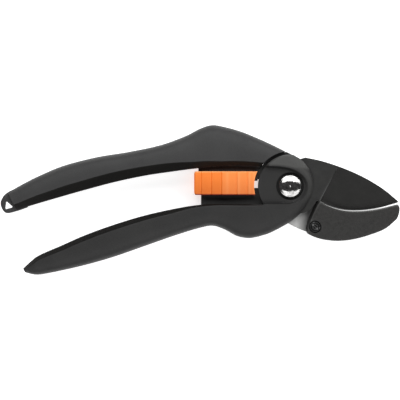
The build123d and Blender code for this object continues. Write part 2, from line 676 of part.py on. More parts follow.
def anvil_screw():
    seat = SHOE_FRONT - SHOE_COUNTERBORE_DEPTH
    top = seat + SHOE_SCREW_HEAD_HEIGHT
    head = rod(SHOE_SCREW_HEAD_RADIUS, seat, top, SHOE_SCREW)
    head = chamfer(head.edges().sort_by(Axis.Z)[-1], 0.3)
    socket = rod(DRIVE_SIZE, top - 0.9, top + 1, SHOE_SCREW)
    for lobe in range(6):
        x, y = polar(DRIVE_SIZE, 60 * lobe)
        socket += rod(0.32, top - 0.9, top + 1, (SHOE_SCREW[0] + x, SHOE_SCREW[1] + y))
    end = CARRIER_BACK - SHOE_NUT_HEIGHT
    return head + rod(SHOE_SCREW_RADIUS, end, seat, SHOE_SCREW) - socket


def anvil_nut():
    low = CARRIER_BACK - SHOE_NUT_HEIGHT
    body = hexagon(SHOE_NUT_ACROSS_FLATS, low, CARRIER_BACK, SHOE_SCREW)
    return body - rod(SHOE_SCREW_RADIUS, low - 1, CARRIER_BACK + 1, SHOE_SCREW)


# Pivot

def pivot_bolt():
    """A domed head on a plain shank that runs through to the nut."""
    seat = FRONT_FLAT + HEAD_WASHER_THICKNESS
    end = REAR_FLAT - LOCK_WASHER_THICKNESS - NUT_HEIGHT
    rim = seat + BOLT_HEAD_RIM
    outline = [
        Line((0, end), (BOLT_RADIUS, end)),
        Line((BOLT_RADIUS, end), (BOLT_RADIUS, seat)),
        Line((BOLT_RADIUS, seat), (BOLT_HEAD_RADIUS, seat)),
        Line((BOLT_HEAD_RADIUS, seat), (BOLT_HEAD_RADIUS, rim)),
        Spline((BOLT_HEAD_RADIUS, rim), (0.7 * BOLT_HEAD_RADIUS, rim + 0.66 * BOLT_HEAD_DOME),
               (0, rim + BOLT_HEAD_DOME), tangents=[(-0.5, 1), (-1, 0)]),
        Line((0, rim + BOLT_HEAD_DOME), (0, end)),
    ]
    return revolve(Plane.XZ * make_face(outline), Axis.Z)


def pivot_nut():
    top = REAR_FLAT - LOCK_WASHER_THICKNESS
    low = top - NUT_HEIGHT
    body = hexagon(NUT_ACROSS_FLATS, low, top)
    corner = NUT_ACROSS_FLATS / 2 / cos(radians(30))
    cone = Pos(0, 0, low) * Cone(corner - 0.5, corner + NUT_HEIGHT * 1.7 - 0.5, NUT_HEIGHT,
                                 align=(Align.CENTER, Align.CENTER, Align.MIN))
    return (body & cone) - rod(BOLT_RADIUS, low - 1, top + 1)


def thrust_washer(middle, gap):
    half = (gap - THRUST_SLACK) / 2
    return tube(BUSH_RADIUS + RUNNING_CLEARANCE, THRUST_WASHER_RADIUS, middle - half, middle + half)


def parts():
    """Every piece, by its name."""
    return {
        "upper_handle": upper_handle(),
        "lower_handle": lower_handle(),
        "blade": blade(),
        "anvil_carrier": anvil_carrier(),
        "anvil_shoe": anvil_shoe(),
        "anvil_screw": anvil_screw(),
        "anvil_nut": anvil_nut(),
        "pivot_bolt": pivot_bolt(),
        "pivot_head_washer": tube(BOLT_RADIUS + RUNNING_CLEARANCE, HEAD_WASHER_RADIUS, FRONT_FLAT,
                                  FRONT_FLAT + HEAD_WASHER_THICKNESS),
        "pivot_bushing": tube(BOLT_RADIUS + RUNNING_CLEARANCE, BUSH_RADIUS, REAR_CHEEK,
                              BLADE_FRONT),
        "inner_thrust_washer": thrust_washer(BLADE_BACK - INNER_GAP / 2, INNER_GAP),
        "rear_thrust_washer": thrust_washer(CARRIER_BACK - REAR_GAP / 2, REAR_GAP),
        "pivot_lock_washer": tube(BOLT_RADIUS + RUNNING_CLEARANCE, LOCK_WASHER_RADIUS,
                                  REAR_FLAT - LOCK_WASHER_THICKNESS, REAR_FLAT),
        "pivot_nut": pivot_nut(),
        "return_spring": return_spring(),
        "lock_slider": lock_slider(),
        "lock_slider_back": lock_slider_back(),
        "lock_screws": Compound(children=lock_screws()),
        "lock_detent_spring": lock_detent_spring(),
    }


def main():
    os.makedirs("parts", exist_ok=True)
    made = parts()
    boxes = [piece.bounding_box() for piece in made.values()]
    low = [min(getattr(b.min, axis) for b in boxes) for axis in "XYZ"]
    high = [max(getattr(b.max, axis) for b in boxes) for axis in "XYZ"]
    shift = (-(low[0] + high[0]) / 2, -(low[1] + high[1]) / 2, -low[2])
    print("pivot in the part's own frame, mm:", [round(v, 4) for v in shift])
    print("size, mm:", [round(b - a, 2) for a, b in zip(low, high)])
    for name, piece in made.items():
        export_step(Pos(*shift) * piece, f"parts/{name}.step")


main()
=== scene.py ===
import json
import math

import bmesh
import bpy
import numpy as np
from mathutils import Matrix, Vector, noise
from mathutils.geometry import delaunay_2d_cdt


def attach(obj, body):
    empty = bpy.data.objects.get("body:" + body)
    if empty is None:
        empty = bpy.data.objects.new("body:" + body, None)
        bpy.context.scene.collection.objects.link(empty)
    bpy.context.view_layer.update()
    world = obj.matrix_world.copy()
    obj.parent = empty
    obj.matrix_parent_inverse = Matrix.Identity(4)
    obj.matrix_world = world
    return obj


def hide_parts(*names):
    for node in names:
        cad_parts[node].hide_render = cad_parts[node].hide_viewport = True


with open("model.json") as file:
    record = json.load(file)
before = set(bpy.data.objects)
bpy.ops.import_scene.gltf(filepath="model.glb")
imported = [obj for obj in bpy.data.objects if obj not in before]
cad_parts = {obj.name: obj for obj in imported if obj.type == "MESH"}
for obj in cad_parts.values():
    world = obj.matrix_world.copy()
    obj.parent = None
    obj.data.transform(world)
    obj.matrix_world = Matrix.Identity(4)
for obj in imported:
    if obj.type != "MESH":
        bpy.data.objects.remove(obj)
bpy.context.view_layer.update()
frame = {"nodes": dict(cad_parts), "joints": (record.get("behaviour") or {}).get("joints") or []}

scene = bpy.context.scene
hinge = [joint for joint in frame["joints"] if joint["name"] == "pivot_hinge"][0]
pivot = Vector(hinge["pos_m"])
print("frame loaded, pivot at", [round(v, 5) for v in pivot])

# Shapes are drawn in millimetres about the pivot: x to the jaw tips, y across, z up the bolt.


def place(point):
    return pivot + Vector(point) * 0.001


def mix(a, b, share):
    return a + (b - a) * share


def smooth(low, high, value):
    share = min(1.0, max(0.0, (value - low) / (high - low)))
    return share * share * (3 - 2 * share)


def fromRows(rows, value):
    # rows of (key, a, b, ...), read between two keys
    for first, last in zip(rows, rows[1:]):
        if value <= last[0]:
            share = smooth(first[0], last[0], value) * 0.5 + 0.5 * max(
                0.0, (value - first[0]) / (last[0] - first[0]))
            return [mix(a, b, share) for a, b in zip(first[1:], last[1:])]
    return list(rows[-1][1:])


def curveThrough(points, count):
    # evenly spaced points on a smooth curve through the given ones
    knots = [Vector((*p, 0.0)) if len(p) == 2 else Vector(p) for p in points]
    knots = [knots[0] * 2 - knots[1]] + knots + [knots[-1] * 2 - knots[-2]]
    dense = []
    for a, b, c, d in zip(knots, knots[1:], knots[2:], knots[3:]):
        for step in range(16):
            t = step / 16
            dense.append(0.5 * (2 * b + (c - a) * t + (2 * a - 5 * b + 4 * c - d) * t * t
                                + (3 * b - a - 3 * c + d) * t * t * t))
    dense.append(knots[-2])
    run = [0.0]
    for a, b in zip(dense, dense[1:]):
        run.append(run[-1] + (b - a).length)
    out, at = [], 0
    for number in range(count):
        want = run[-1] * number / (count - 1)
        while at < len(run) - 2 and run[at + 1] < want:
            at += 1
        gap = run[at + 1] - run[at]
        out.append(dense[at].lerp(dense[at + 1], (want - run[at]) / gap if gap else 0))
    return out


def flatCurve(points, count):
    return [(p.x, p.y) for p in curveThrough(points, count)]


def corner(before, at, after, reach, steps):
    # a rounded corner as a short curve, each point (u, z)
    first = Vector(at) + (Vector(before) - Vector(at)).normalized() * reach
    last = Vector(at) + (Vector(after) - Vector(at)).normalized() * reach
    out = []
    for step in range(steps + 1):
        t = step / steps
        out.append(first * (1 - t) ** 2 + Vector(at) * 2 * t * (1 - t) + last * t * t)
    return out


def bezier(a, b, c, d, steps):
    out = []
    for step in range(steps + 1):
        t = step / steps
        out.append(Vector(a) * (1 - t) ** 3 + Vector(b) * 3 * t * (1 - t) ** 2
                   + Vector(c) * 3 * t * t * (1 - t) + Vector(d) * t ** 3)
    return out


def linked(name, data):
    piece = bpy.data.objects.new(name, data)
    scene.collection.objects.link(piece)
    return piece


def meshPiece(name, points, faces):
    # a closed skin, with its faces turned outward
    mesh = bpy.data.meshes.new(name)
    mesh.from_pydata([place(p) for p in points], [], faces)
    mesh.validate()
    work = bmesh.new()
    work.from_mesh(mesh)
    bmesh.ops.remove_doubles(work, verts=work.verts, dist=1e-7)
    bmesh.ops.recalc_face_normals(work, faces=work.faces)
    work.to_mesh(mesh)
    work.free()
    return linked(name, mesh)


def shade(piece, degrees=32):
    piece.data.shade_smooth()
    piece.data.set_sharp_from_angle(angle=math.radians(degrees))


def settle(piece):
    # the modifiers become mesh
    bpy.context.view_layer.update()
    graph = bpy.context.evaluated_depsgraph_get()
    mesh = bpy.data.meshes.new_from_object(piece.evaluated_get(graph))
    piece.modifiers.clear()
    piece.data = mesh


def combine(piece, other, how, solver="EXACT"):
    step = piece.modifiers.new("combine", "BOOLEAN")
    step.object, step.operation, step.solver = other, how, solver
    settle(piece)
    bpy.data.objects.remove(other)


def ringFaces(rows, size):
    # the faces between neighbouring rings of one size
    faces = []
    for row in range(rows - 1):
        for col in range(size):
            after = (col + 1) % size
            faces.append((row * size + col, row * size + after,
                          (row + 1) * size + after, (row + 1) * size + col))
    return faces


def ringLoft(name, rings):
    # rings of the same size, mirrored front to back, closed at both ends with strips
    size = len(rings[0])
    points = [p for ring in rings for p in ring]
    faces = ringFaces(len(rings), size)
    half = size // 2
    for start in (0, (len(rings) - 1) * size):
        for col in range(half):
            a, b = start + col, start + col + 1
            c, d = start + (size - col - 1) % size, start + (size - col) % size
            faces.append((a, b, c, d) if col not in (0, half - 1) else
                         ((a, b, c) if col == 0 else (a, b, d)))
    return meshPiece(name, points, faces)


def cappedLoft(name, rings):
    # rings of the same size, each end closed by one face
    size = len(rings[0])
    points = [p for ring in rings for p in ring]
    faces = ringFaces(len(rings), size)
    faces += [tuple(range(size)), tuple(range(len(points) - size, len(points)))]
    return meshPiece(name, points, faces)


def slabPiece(name, outline, low, high, edge=0.0, steps=2):
    # an outline raised from one z to another, with its rims rounded
    count = len(outline)
    points = [(p[0], p[1], z) for z in (low, high) for p in outline]
    faces = [tuple(range(count)), tuple(range(count, 2 * count))]
    for a in range(count):
        b = (a + 1) % count
        faces.append((a, b, count + b, count + a))
    piece = meshPiece(name, points, faces)
    if edge:
        work = bmesh.new()
        work.from_mesh(piece.data)
        rims = [e for e in work.edges if e.calc_face_angle(0) > math.radians(35)]
        bmesh.ops.bevel(work, geom=rims, offset=edge * 0.001, segments=steps, profile=0.5,
                        affect="EDGES", clamp_overlap=True)
        work.to_mesh(piece.data)
        work.free()
    return piece


def storeShare(piece, name, values):
    # a value on every point, which the materials read
    share = piece.data.attributes.new(name, "FLOAT", "POINT")
    share.data.foreach_set("value", np.array(values, dtype=np.float32))


def pointsOf(piece):
    # every point of a piece, in millimetres about the pivot
    flat = np.empty(len(piece.data.vertices) * 3)
    piece.data.vertices.foreach_get("co", flat)
    return (flat.reshape(-1, 3) - np.array(pivot)) * 1000


def rimDistance(spots, line, closed=True):
    # how far each spot (x, y) is from a line of points
    line = np.array(line)
    first, last = (line, np.roll(line, -1, axis=0)) if closed else (line[:-1], line[1:])
    along = last - first
    gap = np.array(spots)[:, None, :] - first
    share = np.clip((gap * along).sum(2) / np.maximum((along ** 2).sum(1), 1e-12), 0, 1)
    return np.sqrt(((gap - along * share[..., None]) ** 2).sum(2)).min(1)


def isInside(spots, outline):
    line = np.array(outline)
    x0, y0 = line[:, 0], line[:, 1]
    x1, y1 = np.roll(x0, -1), np.roll(y0, -1)
    x, y = np.array(spots)[:, 0:1], np.array(spots)[:, 1:2]
    spans = (y0 > y) != (y1 > y)
    rise = np.where(y1 == y0, 1e-9, y1 - y0)
    return (spans & (x < (x1 - x0) * (y - y0) / rise + x0)).sum(1) % 2 == 1


def evenly(outline, gap):
    # a closed outline with no step longer than the gap, its corners kept
    out = []
    for a, b in zip(outline, list(outline[1:]) + [outline[0]]):
        many = max(1, round(math.dist(a[:2], b[:2]) / gap))
        out += [(mix(a[0], b[0], n / many), mix(a[1], b[1], n / many)) for n in range(many)]
    return out


def insetSpots(outline, reach):
    spots = []
    for before, at, after in zip([outline[-1]] + outline, outline, outline[1:] + [outline[0]]):
        run = Vector((after[0] - before[0], after[1] - before[1])).normalized()
        spots += [(at[0] - run.y * reach, at[1] + run.x * reach),
                  (at[0] + run.y * reach, at[1] - run.x * reach)]
    spots = np.array(spots)
    return spots[isInside(spots, outline) & (rimDistance(spots, outline) > reach * 0.98)]


def plateMesh(name, outline, front, back, cell, rims, marks):
    # a flat piece whose two faces follow heights given at spots (x, y); rims are distances in
    # from the outline that get their own row of points, marks are lines the mesh has to follow
    outline = [p for n, p in enumerate(outline) if math.dist(p, outline[n - 1]) > 0.05]
    spots = list(outline)
    edges = [(n, (n + 1) % len(outline)) for n in range(len(outline))]
    for line, closed in marks:
        start = len(spots)
        spots += line
        edges += [(start + n, start + n + 1) for n in range(len(line) - 1)]
        if closed:
            edges.append((start + len(line) - 1, start))
    for reach in rims:
        spots += [tuple(p) for p in insetSpots(outline, reach)]
    low, high = np.min(outline, axis=0), np.max(outline, axis=0)
    grid = np.array([(x, y) for x in np.arange(low[0], high[0], cell)
                     for y in np.arange(low[1], high[1], cell)])
    keep = isInside(grid, outline) & (rimDistance(grid, outline) > max(rims) + cell * 0.4)
    spots += [tuple(p) for p in grid[keep]]
    made = delaunay_2d_cdt([Vector(p) for p in spots], edges, [], 1, 1e-6)
    flat = np.array([(p.x, p.y) for p in made[0]])
    count = len(flat)
    home = {}
    for number, sources in enumerate(made[3]):
        for source in sources:
            home[source] = number
    points = [(x, y, z) for (x, y), z in zip(flat, front(flat))]
    points += [(x, y, z) for (x, y), z in zip(flat, back(flat))]
    faces = [tuple(f) for f in made[2]]
    faces += [tuple(count + n for n in reversed(f)) for f in made[2]]
    loop = [home[n] for n in range(len(outline))]
    for a, b in zip(loop, loop[1:] + loop[:1]):
        if a != b:
            faces.append((b, a, count + a, count + b))
    return meshPiece(name, points, faces)


def chamferDrop(away, width, depth):
    return depth * np.clip(1 - away / width, 0, 1)


def roundDrop(away, width, depth):
    return depth * (1 - np.sqrt(1 - np.clip(1 - away / width, 0, 1) ** 2))


def boxOutline(x0, x1, y0, y1):
    return [(x0, y0), (x1, y0), (x1, y1), (x0, y1)]


def ringOutline(radius, count, middle=(0.0, 0.0)):
    return [(middle[0] + radius * math.cos(math.tau * n / count),
             middle[1] + radius * math.sin(math.tau * n / count)) for n in range(count)]


def polar(radius, angle):
    return (radius * math.cos(math.radians(angle)), radius * math.sin(math.radians(angle)))


def cutRound(piece, radius, count, low, high, middle=(0.0, 0.0)):
    hole = slabPiece("hole", ringOutline(radius, count, middle), low, high)
    combine(piece, hole, "DIFFERENCE")


# Materials. Everything is in object space, so a finish keeps its scale on every piece.


def nodesOf(name):
    material = bpy.data.materials.new(name)
    material.use_nodes = True
    nodes, links = material.node_tree.nodes, material.node_tree.links
    shader = nodes["Principled BSDF"]
    where = nodes.new("ShaderNodeTexCoord").outputs["Object"]
    return material, nodes, links, shader, where


def fill(node, values):
    for socket, value in values.items():
        node.inputs[socket].default_value = value


def noiseAt(nodes, links, where, size, detail=3.0, roughness=0.55, stretch=(1, 1, 1)):
    # size is the width of one blotch, in millimetres
    spread = nodes.new("ShaderNodeMapping")
    spread.inputs["Scale"].default_value = stretch
    links.new(where, spread.inputs["Vector"])
    part = nodes.new("ShaderNodeTexNoise")
    fill(part, {"Scale": 1000.0 / size, "Detail": detail, "Roughness": roughness})
    links.new(spread.outputs["Vector"], part.inputs["Vector"])
    return part.outputs["Fac"]


def ramp(nodes, links, source, stops):
    part = nodes.new("ShaderNodeValToRGB")
    while len(part.color_ramp.elements) < len(stops):
        part.color_ramp.elements.new(0.5)
    for element, (at, colour) in zip(part.color_ramp.elements, stops):
        element.position = at
        element.color = (*colour, 1.0) if isinstance(colour, tuple) else (colour,) * 3 + (1.0,)
    links.new(source, part.inputs["Fac"])
    return part.outputs["Color"]


def bumpFrom(nodes, links, height, strength, depth, under=None):
    bump = nodes.new("ShaderNodeBump")
    fill(bump, {"Strength": strength, "Distance": depth * 0.001})
    links.new(height, bump.inputs["Height"])
    if under:
        links.new(under, bump.inputs["Normal"])
    return bump.outputs["Normal"]


def spanOf(nodes, links, source, low, high):
    # 0 at the low value, 1 at the high one
    span = nodes.new("ShaderNodeMapRange")
    fill(span, {"From Min": low, "From Max": high})
    links.new(source, span.inputs["Value"])
    return span.outputs["Result"]


def proudEdges(nodes, links, low, high):
    # bright where an edge is proud
    geometry = nodes.new("ShaderNodeNewGeometry")
    return spanOf(nodes, links, geometry.outputs["Pointiness"], low, high)


def drawnShare(nodes, name):
    # a share stored on a piece's own points, 0 on pieces without one
    part = nodes.new("ShaderNodeAttribute")
    part.attribute_name = name
    return part.outputs["Fac"]


def blendColour(nodes, links, share, first, second):
    part = nodes.new("ShaderNodeMix")
    part.data_type = "RGBA"
    links.new(share, part.inputs["Factor"])
    for socket, value in ((part.inputs["A"], first), (part.inputs["B"], second)):
        if isinstance(value, tuple):
            socket.default_value = (*value, 1.0)
        else:
            links.new(value, socket)
    return part.outputs["Result"]


def mouldedPlastic(name, look):
    # spark-eroded nylon: a fine grain, a little cloudiness and paler proud edges
    material, nodes, links, shader, where = nodesOf(name)
    cloud = noiseAt(nodes, links, where, look["cloud"], 2.0)
    grain = noiseAt(nodes, links, where, look["grain"], 3.0, 0.65)
    pits = noiseAt(nodes, links, where, look["grain"] * 3.1, 2.0)
    base = ramp(nodes, links, cloud, [(0.3, look["dark"]), (0.7, look["pale"])])
    speck = ramp(nodes, links, grain, [(0.35, 0.0), (0.75, 1.0)])
    base = blendColour(nodes, links, speck, base, look["speck"])
    wornAndGlint = proudEdges(nodes, links, 0.53, 0.62)
    base = blendColour(nodes, links, wornAndGlint, base, look["wornAndGlint"])
    # painted light and shade, from a share stored on the piece's points
    base = blendColour(nodes, links, drawnShare(nodes, "paintedLightAndShade"), base, look["paintedLightAndShade"])
    # real wear mixed with painted light and shade, from a share stored on the piece's points
    base = blendColour(nodes, links, drawnShare(nodes, "wearAndPaintedShading"), base, look["rubbedAndPaintedShading"])
    links.new(base, shader.inputs["Base Color"])
    sheen = ramp(nodes, links, pits, [(0.3, look["rough"][0]), (0.7, look["rough"][1])])
    links.new(sheen, shader.inputs["Roughness"])
    shader.inputs["Specular IOR Level"].default_value = look["specular"]
    coarse = bumpFrom(nodes, links, pits, look["bump"] * 0.6, 0.05)
    links.new(bumpFrom(nodes, links, grain, look["bump"], 0.03, coarse), shader.inputs["Normal"])
    return material


def brushedMetal(name, look):
    # drawn or ground steel: streaks along one direction over a mottled tone
    material, nodes, links, shader, where = nodesOf(name)
    streak = noiseAt(nodes, links, where, look["streak"], 4.0, 0.6, look["along"])
    mottle = noiseAt(nodes, links, where, look["mottle"], 3.0)
    base = ramp(nodes, links, mottle, [(0.3, look["dark"]), (0.72, look["pale"])])
    wornAndGlint = proudEdges(nodes, links, 0.52, 0.6)
    base = blendColour(nodes, links, wornAndGlint, base, look["wornAndGlint"])
    # real wear mixed with a painted highlight, from a share stored on the piece's points
    base = blendColour(nodes, links, drawnShare(nodes, "wearAndPaintedShading"), base, look["rubbedAndPaintedShading"])
    for axis, start, end, colour in look.get("paintedShadeRamps", ()):
        # painted shade ramps, in millimetres from the pivot, along one axis
        across = nodes.new("ShaderNodeSeparateXYZ")
        links.new(where, across.inputs["Vector"])
        middle = pivot.x if axis == "X" else pivot.y
        share = spanOf(nodes, links, across.outputs[axis], middle + start * 0.001,
                       middle + end * 0.001)
        base = blendColour(nodes, links, share, base, colour)
    links.new(base, shader.inputs["Base Color"])
    links.new(ramp(nodes, links, streak, [(0.25, look["rough"][0]), (0.75, look["rough"][1])]),
              shader.inputs["Roughness"])
    fill(shader, {"Metallic": look["metal"], "Specular IOR Level": look.get("specular", 0.5)})
    links.new(bumpFrom(nodes, links, streak, look["bump"], 0.02), shader.inputs["Normal"])
    return material


gripLook = {
    "dark": (0.0150, 0.0150, 0.0152), "pale": (0.0215, 0.0213, 0.0210),
    "speck": (0.029, 0.0288, 0.0283), "wornAndGlint": (0.036, 0.036, 0.036),
    # the first two colours below are the painted highlight on the head's rim and shoulder, and the
    # painted shade in its flat and groove
    "rubbedAndPaintedShading": (0.062, 0.062, 0.06), "paintedLightAndShade": (0.004, 0.004, 0.0036),
    "cloud": 16.0, "grain": 0.28, "rough": (0.5, 0.62), "specular": 0.22, "bump": 0.3,
}
gripPlastic = mouldedPlastic("gripPlastic", gripLook)
# the upper handle is a little paler: painted light, a lit copy of the grip plastic
paintedLitGripLook = dict(gripLook, dark=(0.0245, 0.0245, 0.0247), pale=(0.034, 0.034, 0.034),
                 speck=(0.044, 0.044, 0.044), wornAndGlint=(0.052, 0.052, 0.052))
gripPaintedLit = mouldedPlastic("gripPaintedLit", paintedLitGripLook)
# the smooth bevels towards the fingers are blacker: painted shade, a shaded copy of the grip
# plastic
shadedBevelLook = dict(gripLook, dark=(0.0036, 0.0034, 0.0030), pale=(0.0058, 0.0054, 0.0048),
                 speck=(0.0085, 0.008, 0.007), wornAndGlint=(0.02, 0.02, 0.02), specular=0.16)
gripBevelShaded = mouldedPlastic("gripBevelShaded", shadedBevelLook)

orangeLook = {
    "dark": (0.79, 0.180, 0.022), "pale": (0.86, 0.205, 0.028),
    # the last colour below is painted shade for the lower rim, and the one after it is painted
    # light for the forward slope
    "speck": (0.87, 0.235, 0.04), "wornAndGlint": (0.95, 0.38, 0.13), "rubbedAndPaintedShading": (0.22, 0.018, 0.004),
    "paintedLightAndShade": (0.88, 0.29, 0.082),
    "cloud": 9.0, "grain": 0.25, "rough": (0.36, 0.46), "specular": 0.3, "bump": 0.12,
}
orangePlastic = mouldedPlastic("orangePlastic", orangeLook)

anvilLook = {
    "dark": (0.0088, 0.0086, 0.0080), "pale": (0.0158, 0.0152, 0.0142),
    "speck": (0.028, 0.027, 0.026), "wornAndGlint": (0.09, 0.09, 0.088),
    # the second colour below is painted shade in the counterbore and down the left wall
    "rubbedAndPaintedShading": (0.16, 0.16, 0.155), "paintedLightAndShade": (0.003, 0.003, 0.003),
    "cloud": 2.2, "grain": 0.45, "rough": (0.42, 0.62), "specular": 0.34, "bump": 0.5,
}
anvilPlastic = mouldedPlastic("anvilPlastic", anvilLook)

bladeLook = {
    "dark": (0.0155, 0.0155, 0.0148), "pale": (0.020, 0.020, 0.0192), "wornAndGlint": (0.09, 0.09, 0.088),
    # the first colour below is bare steel, and it also paints the highlight along the step
    "rubbedAndPaintedShading": (0.16, 0.16, 0.158), "streak": 0.5, "along": (0.25, 1.0, 1.0), "mottle": 5.0,
    "rough": (0.36, 0.5), "metal": 0.0, "specular": 0.36, "bump": 0.10,
}
bladeCoating = brushedMetal("bladeCoating", bladeLook)
groundLook = dict(bladeLook, dark=(0.0098, 0.0096, 0.0089), pale=(0.0132, 0.0128, 0.0119),
                  streak=0.35, along=(1.0, 0.3, 1.0), rough=(0.40, 0.55), specular=0.27, bump=0.16)
bladeGround = brushedMetal("bladeGround", groundLook)

steelLook = {
    "dark": (0.30, 0.30, 0.295), "pale": (0.44, 0.44, 0.43), "wornAndGlint": (0.62, 0.62, 0.61),
    "rubbedAndPaintedShading": (0.7, 0.7, 0.7), "streak": 0.4, "along": (1.0, 0.2, 1.0), "mottle": 3.0,
    "rough": (0.34, 0.52), "metal": 0.85, "bump": 0.2,
}
plateSteel = brushedMetal("plateSteel", steelLook)

# the carrier is bright where the jaw shows it, with painted shade: black inside the head and darker
# towards the anvil shoe
carrierLook = dict(steelLook, dark=(0.60, 0.60, 0.59), pale=(0.78, 0.78, 0.77),
                   paintedShadeRamps=[("Y", -9.0, -2.0, (0.008, 0.008, 0.008)),
                           ("X", 3.5, 9.5, (0.09, 0.09, 0.088))])
carrierSteel = brushedMetal("carrierSteel", carrierLook)

chromeLook = {
    "dark": (0.17, 0.168, 0.165), "pale": (0.46, 0.455, 0.45), "wornAndGlint": (0.5, 0.5, 0.5),
    "rubbedAndPaintedShading": (0.9, 0.9, 0.9), "streak": 0.9, "along": (1.0, 1.0, 1.0), "mottle": 1.3,
    "rough": (0.06, 0.14), "metal": 1.0, "bump": 0.05,
}
boltChrome = brushedMetal("boltChrome", chromeLook)

# the worn colour on this black screw's proud edges is a painted glint on the socket's lobes
blackScrewLook = {
    "dark": (0.004, 0.004, 0.004), "pale": (0.009, 0.009, 0.009), "wornAndGlint": (0.12, 0.12, 0.12),
    "rubbedAndPaintedShading": (0.25, 0.25, 0.25), "streak": 0.4, "along": (1.0, 1.0, 1.0), "mottle": 1.0,
    "rough": (0.3, 0.45), "metal": 0.0, "specular": 0.12, "bump": 0.2,
}
blackScrew = brushedMetal("blackScrew", blackScrewLook)

zincLook = dict(steelLook, dark=(0.36, 0.37, 0.39), pale=(0.5, 0.51, 0.53), metal=1.0,
                rough=(0.25, 0.4), mottle=1.2)
zincSteel = brushedMetal("zincSteel", zincLook)

brassLook = dict(steelLook, dark=(0.50, 0.33, 0.12), pale=(0.68, 0.47, 0.18), metal=1.0,
                 wornAndGlint=(0.8, 0.6, 0.3), along=(1.0, 1.0, 0.2))
bushBrass = brushedMetal("bushBrass", brassLook)
print("materials ready")


# Handles: rings across the grip, from the middle of its inner edge, over the front, to the middle
# of its outer edge, and back behind

bevelColumns = (3, 10)      # the points of a ring that bound the bevel towards the fingers


def gripHalf(width, row, crown):
    bevel, lip, crest, reach, back = row
    bevel = min(bevel, width * 0.4)
    half = [Vector((0, 0)), Vector((0, lip * 0.45))]
    half += corner((0, 0), (0, lip), (bevel, crest), min(0.6, bevel * 0.4, lip * 0.4), 3)
    start = Vector((bevel, crest))
    soft = min(0.55, 0.12 * width, 0.45 * (start - Vector((0, lip))).length)
    turn = corner((0, lip), start, (bevel + 1, crest), soft, 4)
    half += [half[-1].lerp(turn[0], 0.33), half[-1].lerp(turn[0], 0.67)] + turn
    rest = width - turn[-1].x
    half += bezier(turn[-1], (turn[-1].x + reach * rest, crest), (width, back * crest),
                   (width, 0), crown)[1:-1]
    # the mould's parting line along the back
    return half + [Vector((width, 0.16)), Vector((width - 0.07, 0))]


def gripRing(inner, outer, row, crown):
    across = outer - inner
    width = across.length
    across.normalize()
    half = gripHalf(width, row, crown)
    front = [inner + across * p.x + Vector((0, 0, p.y)) for p in half]
    back = [Vector((p.x, p.y, -p.z)) for p in reversed(front[1:-1])]
    return front + back


upperGrip = {
    "inner": [(1.0, 7.0), (-13.0, 9.9), (-25.0, 10.7), (-37.0, 10.4), (-48.0, 9.3), (-60.3, 7.7),
              (-75.6, 5.4), (-92.0, 1.9), (-108.4, -2.5), (-121.7, -6.3), (-132.9, -9.6),
              (-141.6, -12.2)],
    "outer": [(2.8, 15.5), (-8.9, 21.4), (-17.3, 25.2), (-25.6, 28.5), (-33.9, 30.8),
              (-40.4, 31.75), (-46.4, 30.0), (-54.6, 25.9), (-67.4, 21.3), (-83.8, 17.8),
              (-100.2, 15.1), (-117.1, 10.8), (-129.8, 5.6), (-138.0, 1.5), (-146.4, -3.2)],
    # share of the length, bevel, lip, crest, reach of the crown, reach of the back
    "rows": [(0.0, 1.9, 5.5, 7.4, 0.88, 0.7), (0.1, 2.0, 5.8, 8.1, 0.88, 0.7),
             (0.25, 2.3, 5.2, 8.6, 0.88, 0.7), (0.33, 3.3, 5.0, 8.8, 0.88, 0.7),
             (0.45, 4.6, 4.8, 9.3, 0.88, 0.7), (0.65, 5.0, 4.6, 9.47, 0.87, 0.68),
             (0.8, 4.8, 4.4, 8.9, 0.86, 0.66), (0.9, 4.2, 3.9, 7.8, 0.84, 0.62),
             (1.0, 3.0, 3.3, 6.2, 0.8, 0.6)],
    "rings": 300, "crown": 34,
    "cavity": 18.1,
    "web": (-47.5, -14.0, 2.7, 13.0, 1.8),
    "bead": (-47.5, -14.0, 2.7, 4.6, 3.0),
    "stopTab": (-33.0, -30.0, 0.1, 3.2, 1.8),
    # angles, radii and z of the shelf behind the blade's heel
    "shelf": (142.5, 170.8, 17.0, 18.5, -1.8, -0.1),
}


def gripRings(spec):
    inner = curveThrough(spec["inner"], spec["rings"])
    outer = curveThrough(spec["outer"], spec["rings"])
    rings = []
    for number, (a, b) in enumerate(zip(inner, outer)):
        row = fromRows(spec["rows"], number / (spec["rings"] - 1))
        rings.append(gripRing(a, b, row, spec["crown"]))
    return rings


def webPiece(name, spec, edge):
    x0, x1, y0, y1, half = spec
    return slabPiece(name, boxOutline(x0, x1, y0, y1), -half, half, edge)


loopSpec = {
    "outside": [(-139.0, 0.2), (-146.6, -3.3), (-149.7, -6.9), (-149.95, -10.4), (-147.3, -13.9),
                (-141.8, -12.9), (-136.0, -10.9)],
    "hole": [(-146.9, -8.0), (-144.2, -10.35), (-144.0, -10.9), (-144.6, -11.2), (-147.4, -11.85),
             (-147.95, -11.4), (-147.5, -8.3), (-146.9, -8.0)],
    "half": 3.0, "edge": 0.9,
}


def hangingLoop(spec):
    # the flat loop at the tail, with its rounded triangular hole
    outside, half = flatCurve(spec["outside"], 60), spec["half"]
    plate = slabPiece("loop", outside, -half, half, spec["edge"], 4)
    hole = flatCurve(spec["hole"], 40)[:-1]
    combine(plate, slabPiece("hole", hole, -9.0, 9.0), "DIFFERENCE")
    return plate


